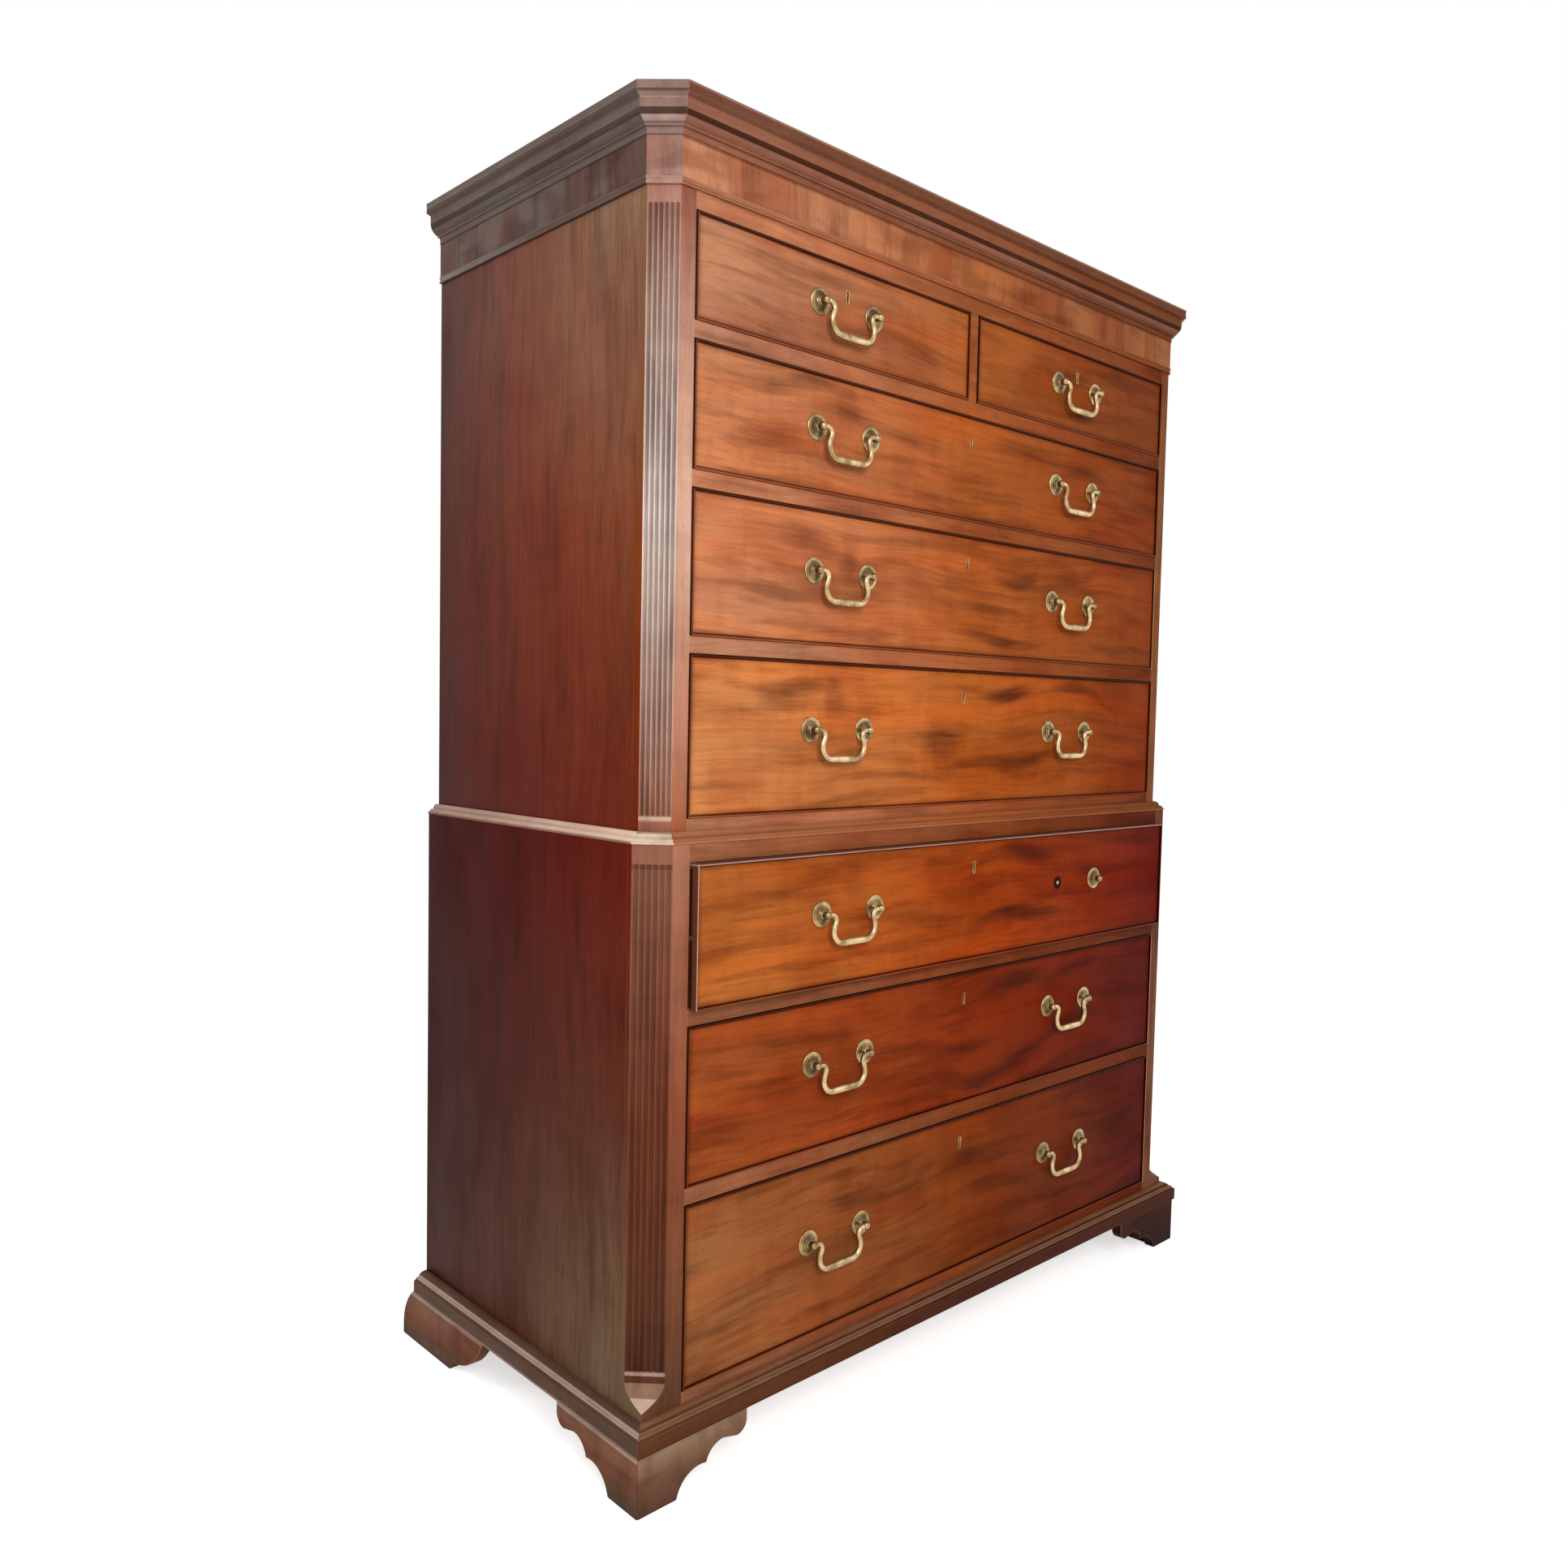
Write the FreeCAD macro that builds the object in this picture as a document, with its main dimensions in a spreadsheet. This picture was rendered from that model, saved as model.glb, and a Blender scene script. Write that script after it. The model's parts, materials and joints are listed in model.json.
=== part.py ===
import FreeCAD, Part
import math
import os
import Sketcher

# Chest on chest in mahogany: two cases of cockbeaded drawers with canted, fluted corners, on bracket feet.
# The front faces -Y, +X is to the right and +Z is up. Lengths are in millimetres, angles in degrees.

SIZES = {
    # the two cases
    "lower_width": 1262,
    "case_depth": 572,
    "case_setback": 17,
    "side_thickness": 20,
    "post_depth": 44,
    "lower_stile": 27,
    "lower_cant": 37.5,
    "upper_stile": 24,
    "upper_cant": 30.5,
    "board_thickness": 20,
    "dust_board_thickness": 10,
    "back_thickness": 12,
    "back_rebate": 10,
    "back_joint": 1,
    "rail_depth": 60,
    "rail_height": 22,
    "guide_height": 30,
    # openings and rails, from the floor up
    "foot_height": 80,
    "lower_bottom_rail": 48.5,
    "lower_bottom_opening": 248,
    "lower_middle_opening": 212.5,
    "lower_top_opening": 190,
    "lower_top_rail": 24,
    "upper_bottom_rail": 30.5,
    "upper_bottom_opening": 212.5,
    "upper_middle_opening": 188.5,
    "upper_top_opening": 163.5,
    "short_opening": 135.5,
    "upper_top_rail": 32,
    "divider_width": 20,
    # frieze, cornice and the other mouldings
    "frieze_height": 50,
    "frieze_thickness": 20,
    "frieze_stand": 2,
    "cornice_height": 54.5,
    "cornice_overhang": 27,
    "cornice_crown": 14,
    "cornice_top_lip": 4,
    "bead_height": 9,
    "bead_overhang": 6,
    "waist_height": 14.5,
    "waist_overhang": 1.5,
    "waist_clearance": 0.5,
    "base_moulding_height": 32.5,
    "base_overhang": 22,
    "base_fascia": 21,
    # fluted corners
    "flute_count": 6,
    "flute_width": 5.2,
    "flute_depth": 1,
    "lower_flute_low": 162,
    "lower_flute_high": 822,
    "upper_flute_low": 881,
    "upper_flute_high": 1645,
    "tongue_height": 149,
    "tongue_tip": 122,
    # bracket feet
    "foot_inset": 3,
    "foot_thickness": 20,
    "foot_length": 184,
    "foot_toe": 64,
    "foot_cusp": 30,
    "foot_lobe": 46,
    "foot_lobe_width": 42,
    "foot_lobe_radius": 17.5,
    "back_foot_length": 210,
    "back_foot_toe": 111,
    "back_foot_tip": 15,
    "back_foot_heel": 41,
    "back_bracket_length": 120,
    "glue_block": 42,
    # drawers
    "drawer_gap": 0.8,
    "drawer_running_gap": 0.3,
    "drawer_clearance_behind": 14,
    "drawer_ajar": 13,
    "front_thickness": 22,
    "front_lap": 7,
    "drawer_side": 9,
    "drawer_back": 9,
    "drawer_back_drop": 6,
    "drawer_bottom": 6.5,
    "drawer_runner": 8,
    "drawer_runner_width": 12,
    "cockbead": 3,
    "cockbead_stand": 2.5,
    "dovetail_pitch": 75,
    "dovetail_pin": 5,
    "dovetail_flare": 2.5,
    # brasses
    "handle_spread": 285,
    "handle_share": 0.545,
    "lower_middle_handle_rise": 7,
    "post_spacing": 109,
    "rose_radius": 18.5,
    "rose_thickness": 3,
    "post_radius": 5.5,
    "post_length": 19,
    "pivot_stand": 12.5,
    "pivot_radius": 2.2,
    "pivot_clearance": 0.1,
    "pivot_depth": 5,
    "pivot_collar": 3.4,
    "shank_radius": 3,
    "bail_radius": 3.3,
    "bail_grip_radius": 4.3,
    "bail_neck_radius": 8,
    "bail_corner_radius": 18,
    "bail_drop": 42.4,
    "bail_flare": 21,
    "keyhole_width": 5,
    "keyhole_height": 17,
    "keyhole_drop": 43.5,
    "escutcheon_wall": 1.2,
    "escutcheon_stand": 0.8,
    "lock_width": 60,
    "lock_height": 56,
    "lock_thickness": 11,
}

SQRT_HALF = math.sqrt(0.5)
TONGUE_SWEEP = 1.35
axis_z = FreeCAD.Vector(0, 0, 1)
axis_x = FreeCAD.Vector(1, 0, 0)

doc = FreeCAD.newDocument("chest_on_chest")
sheet = doc.addObject("Spreadsheet::Sheet", "Sizes")
for row, (alias, number) in enumerate(SIZES.items(), 1):
    sheet.set(f"A{row}", alias)
    sheet.set(f"B{row}", str(number))
    sheet.setAlias(f"B{row}", alias)
doc.recompute()


# ---- sizes that know both their number and the sheet expression they come from


class Size:
    def __init__(self, value, text=""):
        self.value = float(value)
        self.text = text or f"({float(value):.9g})"

    def joined(self, sign, value, other):
        return Size(value, f"({self.text} {sign} {other.text})")

    def __add__(self, other):
        other = as_size(other)
        return self.joined("+", self.value + other.value, other)

    def __sub__(self, other):
        other = as_size(other)
        return self.joined("-", self.value - other.value, other)

    def __mul__(self, other):
        other = as_size(other)
        return self.joined("*", self.value * other.value, other)

    def __truediv__(self, other):
        other = as_size(other)
        return self.joined("/", self.value / other.value, other)

    def __neg__(self):
        return as_size(0) - self

    def __radd__(self, other):
        return as_size(other) + self

    def __rsub__(self, other):
        return as_size(other) - self

    def __rmul__(self, other):
        return self * other


def as_size(value):
    return value if isinstance(value, Size) else Size(value)


def cell(alias):
    return Size(sheet.get(alias), f"Sizes.{alias}")


def bind(piece, path, value):
    piece.setExpression(path, as_size(value).text)


def bind_corner(piece, x, y, z):
    for axis, value in (("x", x), ("y", y), ("z", z)):
        bind(piece, f"Placement.Base.{axis}", value)


def bind_place(piece, x, y, z, turn=0):
    """Sets the piece's corner or origin from the sheet, turned about Z by a fixed angle."""
    piece.Placement = FreeCAD.Placement(FreeCAD.Vector(), FreeCAD.Rotation(axis_z, turn))
    bind_corner(piece, x, y, z)


# ---- pieces made from boxes and booleans


def box(name, x, y, z):
    """A board between a low and a high value on each axis."""
    piece = doc.addObject("Part::Box", name)
    for path, (low, high) in (("Length", x), ("Width", y), ("Height", z)):
        bind(piece, path, as_size(high) - low)
    bind_place(piece, x[0], y[0], z[0])
    return piece


def rod(name, x, y, z, radius, height):
    """An upright cylinder."""
    piece = doc.addObject("Part::Cylinder", name)
    bind(piece, "Radius", radius)
    bind(piece, "Height", height)
    bind_place(piece, x, y, z)
    return piece


def fuse(name, pieces):
    if len(pieces) == 1:
        return pieces[0]
    piece = doc.addObject("Part::MultiFuse", name)
    piece.Shapes = pieces
    return piece


def cut(name, base, tools):
    piece = doc.addObject("Part::Cut", name)
    piece.Base = base
    piece.Tool = fuse(f"{name}_tools", tools)
    return piece


nodes = []


def node(label, pieces):
    """Names the solids that share one file; a single piece stands for itself."""
    if len(pieces) == 1:
        piece = pieces[0]
    else:
        piece = doc.addObject("Part::Compound", f"{label}_group")
        piece.Links = pieces
    piece.Label = label
    nodes.append(piece)
    return piece


# ---- pieces made from sketches


def arc_edge(start, end, radius):
    """The minor arc from start to end; its centre is on the left of the way for a positive radius."""
    chord = end - start
    half = chord.Length / 2
    left = FreeCAD.Vector(-chord.y, chord.x, 0).normalize()
    rise = math.sqrt(max(radius * radius - half * half, 0))
    centre = (start + end) / 2 + left * math.copysign(rise, radius)
    first, last = (start, end) if radius > 0 else (end, start)
    angles = [math.atan2(p.y - centre.y, p.x - centre.x) for p in (first, last)]
    if angles[1] < angles[0]:
        angles[1] += 2 * math.pi
    circle = Part.Circle(centre, FreeCAD.Vector(0, 0, 1), abs(radius))
    return Part.ArcOfCircle(circle, angles[0], angles[1])


def outline(sketch, points):
    """Adds a closed outline to a sketch. A third value on a point is the radius of the arc that leaves it."""
    base = sketch.GeometryCount
    count = len(points)
    edges = []
    starts = []
    ends = []
    for index, point in enumerate(points):
        after = points[(index + 1) % count]
        here = FreeCAD.Vector(as_size(point[0]).value, as_size(point[1]).value, 0)
        there = FreeCAD.Vector(as_size(after[0]).value, as_size(after[1]).value, 0)
        radius = as_size(point[2]).value if len(point) > 2 else 0
        edges.append(arc_edge(here, there, radius) if radius else Part.LineSegment(here, there))
        starts.append(2 if radius < 0 else 1)
        ends.append(1 if radius < 0 else 2)
    sketch.addGeometry(edges, False)
    for index, point in enumerate(points):
        after = (index + 1) % count
        sketch.addConstraint(
            Sketcher.Constraint("Coincident", base + index, ends[index], base + after, starts[after])
        )
        for kind, value, axis in (("DistanceX", point[0], -2), ("DistanceY", point[1], -1)):
            value = as_size(value)
            if value.text == as_size(0).text:
                rule = Sketcher.Constraint("PointOnObject", base + index, starts[index], axis)
                sketch.addConstraint(rule)
                continue
            rule = Sketcher.Constraint(kind, -1, 1, base + index, starts[index], value.value)
            number = sketch.addConstraint(rule)
            bind(sketch, f"Constraints[{number}]", value)
        if len(point) > 2:
            radius = as_size(point[2])
            positive = radius if radius.value > 0 else -radius
            number = sketch.addConstraint(Sketcher.Constraint("Radius", base + index, positive.value))
            bind(sketch, f"Constraints[{number}]", positive)


def sketch_on(body, name, role, outlines, offset=0):
    """A sketch on one of the body's own planes, moved along the plane's normal."""
    sketch = body.newObject("Sketcher::SketchObject", name)
    plane = next(f for f in body.Origin.OriginFeatures if f.Role == role)
    sketch.AttachmentSupport = [(plane, "")]
    sketch.MapMode = "FlatFace"
    bind(sketch, "AttachmentOffset.Base.z", offset)
    for points in outlines:
        outline(sketch, points)
    return sketch


def pad(body, name, sketch, length, midplane=False, backwards=False):
    feature = body.newObject("PartDesign::Pad", name)
    feature.Profile = sketch
    bind(feature, "Length", length)
    feature.Midplane = midplane
    feature.Reversed = backwards
    return feature


def pocket_through(body, name, sketch):
    feature = body.newObject("PartDesign::Pocket", name)
    feature.Profile = sketch
    feature.Type = "ThroughAll"
    feature.Midplane = True
    return feature


def run(name, profile, length, reach, depth, turns, x, y, z, angle):
    """One length of moulding along its own +X, with its outside towards its own -Y.

    profile holds (outward, up) points, reach and depth are how far it goes outward and inward,
    and turns are the corner angles at its two ends, 0 where the end is square.
    """
    body = doc.addObject("PartDesign::Body", name)
    slopes = [math.tan(math.radians(turn / 2)) for turn in turns]
    margin = 1
    outer = reach + margin
    inner = depth + margin
    over = [outer * slope + margin if slope else as_size(0) for slope in slopes]
    points = [(-as_size(p[0]), *p[1:]) for p in profile]
    section = sketch_on(body, f"{name}_section", "YZ_Plane", [points], -over[0])
    pad(body, f"{name}_length", section, length + over[0] + over[1])
    wedges = []
    if slopes[0]:
        wedges.append([
            (-outer * slopes[0], -outer),
            (inner * slopes[0], inner),
            (-over[0] - margin, inner),
            (-over[0] - margin, -outer),
        ])
    if slopes[1]:
        wedges.append([
            (length + outer * slopes[1], -outer),
            (length + over[1] + margin, -outer),
            (length + over[1] + margin, inner),
            (length - inner * slopes[1], inner),
        ])
    if wedges:
        mitres = sketch_on(body, f"{name}_mitre_lines", "XY_Plane", wedges)
        pocket_through(body, f"{name}_mitres", mitres)
    bind_place(body, x, y, z, angle)
    return body


def canted_ring(name, profiles, half, front, back, cant, z, reach, depths):
    """Five mitred lengths round the side, cant, front, cant and side faces of a case."""
    side = back - front - cant
    face = cant / SQRT_HALF
    width = 2 * (half - cant)
    lengths = (
        ("left", side, (0, 45), -half, back, -90),
        ("left_cant", face, (45, 45), -half, front + cant, -45),
        ("front", width, (45, 45), cant - half, front, 0),
        ("right_cant", face, (45, 45), half - cant, front, 45),
        ("right", side, (45, 0), half, front + cant, 90),
    )
    pieces = []
    for index, (place, length, turns, x, y, angle) in enumerate(lengths):
        is_cant = index in (1, 3)
        profile = profiles[1] if is_cant else profiles[0]
        depth = depths[1] if is_cant else depths[0]
        pieces.append(run(f"{name}_{place}", profile, length, reach, depth, turns, x, y, z, angle))
    return pieces


# ---- places worked out from the sizes

lower_half = cell("lower_width") / 2
upper_half = lower_half - cell("case_setback")
lower_opening = lower_half - cell("lower_cant") - cell("lower_stile")
upper_opening = upper_half - cell("upper_cant") - cell("upper_stile")
handle_reach = cell("post_length") + cell("drawer_ajar")
lower_front = (handle_reach - cell("case_depth") - cell("back_foot_heel")) / 2
upper_front = lower_front + cell("case_setback")
back = lower_front + cell("case_depth")
back_inside = back - cell("back_thickness")
rail = cell("rail_height")

lower_base = cell("foot_height")
lower_bottom_low = lower_base + cell("lower_bottom_rail")
lower_bottom_high = lower_bottom_low + cell("lower_bottom_opening")
lower_middle_low = lower_bottom_high + rail
lower_middle_high = lower_middle_low + cell("lower_middle_opening")
lower_top_low = lower_middle_high + rail
lower_top_high = lower_top_low + cell("lower_top_opening")
waist = lower_top_high + cell("lower_top_rail")
upper_bottom_low = waist + cell("upper_bottom_rail")
upper_bottom_high = upper_bottom_low + cell("upper_bottom_opening")
upper_middle_low = upper_bottom_high + rail
upper_middle_high = upper_middle_low + cell("upper_middle_opening")
upper_top_low = upper_middle_high + rail
upper_top_high = upper_top_low + cell("upper_top_opening")
short_low = upper_top_high + rail
short_high = short_low + cell("short_opening")
frieze_low = short_high + cell("upper_top_rail")
cornice_low = frieze_low + cell("frieze_height")
crown = cornice_low + cell("cornice_height")


# ---- cases


def corner_post(name, side, opening, half, front, cant, low, high, flutes, tongue=None):
    """A corner post with a canted, fluted arris; with a tongue, the cant dies into a square foot."""
    inner, outer = (opening, half) if side > 0 else (-half, -opening)
    block = box(f"{name}_block", (inner, outer), (front, front + cell("post_depth")), (low, high))
    to_arris = cant * SQRT_HALF
    outer_y = -to_arris - 1
    top = high - low + 1
    body = doc.addObject("PartDesign::Body", f"{name}_cant")
    if tongue:
        tip, shoulder = tongue
        tip = tip - low
        shoulder = shoulder - low
        # the cant sweeps out to the arris in one hollow curve that ends nearly level
        sweep = (shoulder - tip) * TONGUE_SWEEP
        points = [
            (0, shoulder, -sweep),
            (-to_arris, tip),
            (outer_y, tip),
            (outer_y, top),
            (0, top),
        ]
    else:
        points = [(0, -1), (outer_y, -1), (outer_y, top), (0, top)]
    section = sketch_on(body, f"{name}_cant_section", "YZ_Plane", [points])
    pad(body, f"{name}_cant_cut", section, 3 * cant, midplane=True)
    middle_x = side * (half - cant / 2)
    middle_y = front + cant / 2
    bind_place(body, middle_x, middle_y, low, 45 * side)
    tools = [body]
    count = int(SIZES["flute_count"])
    pitch = (cant / SQRT_HALF - cell("flute_width") / 2) / cell("flute_count")
    # a flute is a shallow slice of a cylinder, found from its width and depth
    half_width = cell("flute_width") / 2
    depth = cell("flute_depth")
    radius = (half_width * half_width / depth + depth) / 2
    for index in range(count):
        along = pitch * (index - (count - 1) / 2) * SQRT_HALF
        out = (radius - depth) * SQRT_HALF
        x = middle_x + along + side * out
        y = middle_y + side * along - out
        length = flutes[1] - flutes[0]
        tools.append(rod(f"{name}_flute_{index + 1}", x, y, flutes[0], radius, length))
    return cut(name, block, tools)


def case_side(name, side, half, front, low, high):
    inner, outer = sorted_pair(side, half - cell("side_thickness"), half)
    board = box(f"{name}_board", (inner, outer), (front + cell("post_depth"), back), (low, high))
    rebate_out = half - cell("side_thickness") + cell("back_rebate")
    rebate = sorted_pair(side, half - cell("side_thickness") - 1, rebate_out)
    tool = box(f"{name}_rebate", rebate, (back_inside, back + 1), (low - 1, high + 1))
    return cut(name, board, [tool])


def sorted_pair(side, near, far):
    """The two X values of something on the given side, low one first."""
    return (near, far) if side > 0 else (-far, -near)


def backboards(name, half, low, high, count):
    """Horizontal boards lying in the rebates of the sides, with a shrinkage joint between them."""
    reach = half - cell("side_thickness") + cell("back_rebate")
    pitch = (high - low) / count
    pieces = []
    for index in range(count):
        bottom = low + pitch * index
        top = bottom + pitch - cell("back_joint")
        pieces.append(box(f"{name}_{index + 1}", (-reach, reach), (back_inside, back), (bottom, top)))
    return pieces


def dust_board(name, half, opening, front, top, guides=True):
    """A board behind a rail, level with its top, and the two strips that guide the drawer above it."""
    inside = half - cell("side_thickness")
    behind = front + cell("rail_depth")
    low = top - cell("dust_board_thickness")
    pieces = [box(name, (-inside, inside), (behind, back_inside), (low, top))]
    if guides:
        for side, word in ((-1, "left"), (1, "right")):
            guide = sorted_pair(side, opening, inside)
            strip = (top, top + cell("guide_height"))
            pieces.append(box(f"{name}_{word}_guide", guide, (behind, back_inside), strip))
    return pieces


def case_rail(name, opening, front, low, high):
    return box(name, (-opening, opening), (front, front + cell("rail_depth")), (low, high))


# lower case
for side, word in ((-1, "left"), (1, "right")):
    label = f"lower_side_{word}"
    node(label, [case_side(label, side, lower_half, lower_front, lower_base, waist)])

lower_flutes = (cell("lower_flute_low"), cell("lower_flute_high"))
tongue = (cell("tongue_tip"), cell("tongue_height"))
node("lower_corner_posts", [
    corner_post(
        f"lower_post_{word}", side, lower_opening, lower_half, lower_front,
        cell("lower_cant"), lower_base, waist, lower_flutes, tongue,
    )
    for side, word in ((-1, "left"), (1, "right"))
])
node("lower_rails", [
    case_rail("lower_bottom_rail", lower_opening, lower_front, lower_base, lower_bottom_low),
    case_rail("lower_rail_1", lower_opening, lower_front, lower_bottom_high, lower_middle_low),
    case_rail("lower_rail_2", lower_opening, lower_front, lower_middle_high, lower_top_low),
    case_rail("lower_top_rail", lower_opening, lower_front, lower_top_high, waist),
])
lower_inside = lower_half - cell("side_thickness")
lower_behind = lower_front + cell("rail_depth")
thick = cell("board_thickness")
node("lower_bottom_board", [
    box(
        "lower_bottom_board", (-lower_inside, lower_inside), (lower_behind, back_inside),
        (lower_bottom_low - thick, lower_bottom_low),
    )
])
node("lower_top_board", [
    box(
        "lower_top_board", (-lower_inside, lower_inside), (lower_behind, back_inside),
        (waist - thick, waist),
    )
])
lower_guides = []
for side, word in ((-1, "left"), (1, "right")):
    across = sorted_pair(side, lower_opening, lower_inside)
    strip = (lower_bottom_low, lower_bottom_low + cell("guide_height"))
    lower_guides.append(box(f"lower_bottom_guide_{word}", across, (lower_behind, back_inside), strip))
node("lower_dust_boards", [
    *dust_board("lower_dust_board_1", lower_half, lower_opening, lower_front, lower_middle_low),
    *dust_board("lower_dust_board_2", lower_half, lower_opening, lower_front, lower_top_low),
    *lower_guides,
])
node("lower_backboards", backboards("lower_backboard", lower_half, lower_base, waist, 3))

# upper case
for side, word in ((-1, "left"), (1, "right")):
    label = f"upper_side_{word}"
    node(label, [case_side(label, side, upper_half, upper_front, waist, frieze_low)])

upper_flutes = (cell("upper_flute_low"), cell("upper_flute_high"))
node("upper_corner_posts", [
    corner_post(
        f"upper_post_{word}", side, upper_opening, upper_half, upper_front,
        cell("upper_cant"), waist, frieze_low, upper_flutes,
    )
    for side, word in ((-1, "left"), (1, "right"))
])
divider = cell("divider_width") / 2
upper_behind = upper_front + cell("rail_depth")
node("upper_rails", [
    case_rail("upper_bottom_rail", upper_opening, upper_front, waist, upper_bottom_low),
    case_rail("upper_rail_1", upper_opening, upper_front, upper_bottom_high, upper_middle_low),
    case_rail("upper_rail_2", upper_opening, upper_front, upper_middle_high, upper_top_low),
    case_rail("upper_rail_3", upper_opening, upper_front, upper_top_high, short_low),
    case_rail("upper_top_rail", upper_opening, upper_front, short_high, frieze_low),
    box("upper_divider", (-divider, divider), (upper_front, upper_behind), (short_low, short_high)),
])
upper_inside = upper_half - cell("side_thickness")
node("upper_bottom_board", [
    box(
        "upper_bottom_board", (-upper_inside, upper_inside), (upper_behind, back_inside),
        (upper_bottom_low - thick, upper_bottom_low),
    )
])
upper_guides = []
for side, word in ((-1, "left"), (1, "right")):
    across = sorted_pair(side, upper_opening, upper_inside)
    strip = (upper_bottom_low, upper_bottom_low + cell("guide_height"))
    upper_guides.append(box(f"upper_bottom_guide_{word}", across, (upper_behind, back_inside), strip))
middle_strip = (short_low, short_low + cell("guide_height"))
node("upper_dust_boards", [
    *dust_board("upper_dust_board_1", upper_half, upper_opening, upper_front, upper_middle_low),
    *dust_board("upper_dust_board_2", upper_half, upper_opening, upper_front, upper_top_low),
    *dust_board("upper_dust_board_3", upper_half, upper_opening, upper_front, short_low),
    *upper_guides,
    box("upper_middle_guide", (-divider, divider), (upper_behind, back_inside), middle_strip),
])
top_low = crown - cell("cornice_top_lip") - thick
top_high = crown - cell("cornice_top_lip")

# top board, canted to lie inside the frieze
ring_depth = cell("frieze_thickness") - cell("frieze_stand")
top_half = upper_half - ring_depth
top_front = upper_front + ring_depth
top_cant = cell("upper_cant") - ring_depth * (2 - math.sqrt(2))
top_body = doc.addObject("PartDesign::Body", "upper_top_board")
top_plan = sketch_on(top_body, "upper_top_plan", "XY_Plane", [[
    (top_cant - top_half, top_front),
    (top_half - top_cant, top_front),
    (top_half, top_front + top_cant),
    (top_half, back),
    (-top_half, back),
    (-top_half, top_front + top_cant),
]])
pad(top_body, "upper_top_thickness", top_plan, thick)
bind_place(top_body, 0, 0, top_low)
node("upper_top_board", [top_body])
node("upper_backboards", [
    *backboards("upper_backboard", upper_half, waist, frieze_low, 3),
    box("frieze_backboard", (-top_half, top_half), (back_inside, back), (frieze_low, top_low)),
])


# ---- frieze and mouldings

stand = cell("frieze_stand")
frieze_profile = [
    (-ring_depth, 0),
    (stand, 0),
    (stand, top_high - frieze_low),
    (-ring_depth, top_high - frieze_low),
]
node("frieze", canted_ring(
    "frieze", (frieze_profile, frieze_profile), upper_half, upper_front, back,
    cell("upper_cant"), frieze_low, stand, (ring_depth, ring_depth),
))

# cornice: a small bead, a hollow, the flat corona and the crown that overhangs it
overhang = cell("cornice_overhang")
tall = cell("cornice_height")
crown_low = tall - cell("cornice_crown")
crown_out = overhang * 0.97
foot_out = overhang * 0.15
foot_high = tall * 0.165
hollow_in = overhang * 0.26
hollow_low = tall * 0.2
corona_out = overhang * 0.7
corona_low = tall * 0.505
corona_high = crown_low - overhang * 0.1
cornice_profile = [
    (stand, 0),
    (foot_out, 0, foot_high * 0.75),
    (foot_out, foot_high),
    (hollow_in, foot_high),
    (hollow_in, hollow_low, -(corona_low - hollow_low) * 1.02),
    (corona_out, corona_low),
    (corona_out, corona_high),
    (crown_out, crown_low, cell("cornice_crown") * 2),
    (crown_out, tall),
    (stand, tall),
]
node("cornice", canted_ring(
    "cornice", (cornice_profile, cornice_profile), upper_half, upper_front, back,
    cell("upper_cant"), cornice_low, overhang, (-stand, -stand),
))

# bead under the frieze: a round between two short fillets
bead_out = cell("bead_overhang")
bead_tall = cell("bead_height")
bead_fillet = bead_tall * 0.15
bead_step = bead_out * 0.6
bead_profile = [
    (0, 0),
    (bead_step, 0),
    (bead_step, bead_fillet, bead_tall * 0.52),
    (bead_step, bead_tall - bead_fillet),
    (bead_step, bead_tall),
    (0, bead_tall),
]
node("frieze_bead", canted_ring(
    "frieze_bead", (bead_profile, bead_profile), upper_half, upper_front, back,
    cell("upper_cant"), frieze_low - bead_tall, bead_out, (0, 0),
))

# waist moulding on the lower case: two stepped rounds that hold the upper case in place
waist_out = cell("waist_overhang")
waist_tall = cell("waist_height")
setback = cell("case_setback")
clear = cell("waist_clearance")
lower_line = lower_half - cell("lower_cant")
upper_line = upper_half - cell("upper_cant") - setback
cant_setback = (lower_line - upper_line) * SQRT_HALF


def waist_profile(inset):
    nosing = waist_tall * 0.5
    ledge = -setback * 0.45
    return [
        (-(inset - clear), 0),
        (waist_out, 0),
        (waist_out, nosing * 0.4, nosing * 0.7),
        (waist_out - nosing * 0.6, nosing),
        (ledge, nosing),
        (ledge, waist_tall * 0.75),
        (ledge - waist_tall * 0.25, waist_tall),
        (-(inset - clear), waist_tall),
    ]


node("waist_moulding", canted_ring(
    "waist_moulding", (waist_profile(setback), waist_profile(cant_setback)), lower_half, lower_front,
    back, cell("lower_cant"), waist, waist_out, (setback - clear, cant_setback - clear),
))

# base moulding: a plain fascia under a hollow and a bead, square at the corners
base_out = cell("base_overhang")
base_tall = cell("base_moulding_height")
fascia = cell("base_fascia")
base_profile = [
    (0, 0),
    (base_out, 0),
    (base_out, fascia, (base_tall - fascia) * 0.45),
    (base_out - (base_tall - fascia) * 0.4, fascia + (base_tall - fascia) * 0.4),
    (base_out * 0.62, fascia + (base_tall - fascia) * 0.4),
    (base_out * 0.62, fascia + (base_tall - fascia) * 0.5, -base_out * 0.55),
    (base_out * 0.15, base_tall),
    (0, base_tall),
]
lower_sides = back - lower_front
node("base_moulding", [
    run("base_left", base_profile, lower_sides, base_out, 0, (0, 90),
        -lower_half, back, lower_base, -90),
    run("base_front", base_profile, 2 * lower_half, base_out, 0, (90, 90),
        -lower_half, lower_front, lower_base, 0),
    run("base_right", base_profile, lower_sides, base_out, 0, (90, 0),
        lower_half, lower_front, lower_base, 90),
])


# ---- bracket feet

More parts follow.
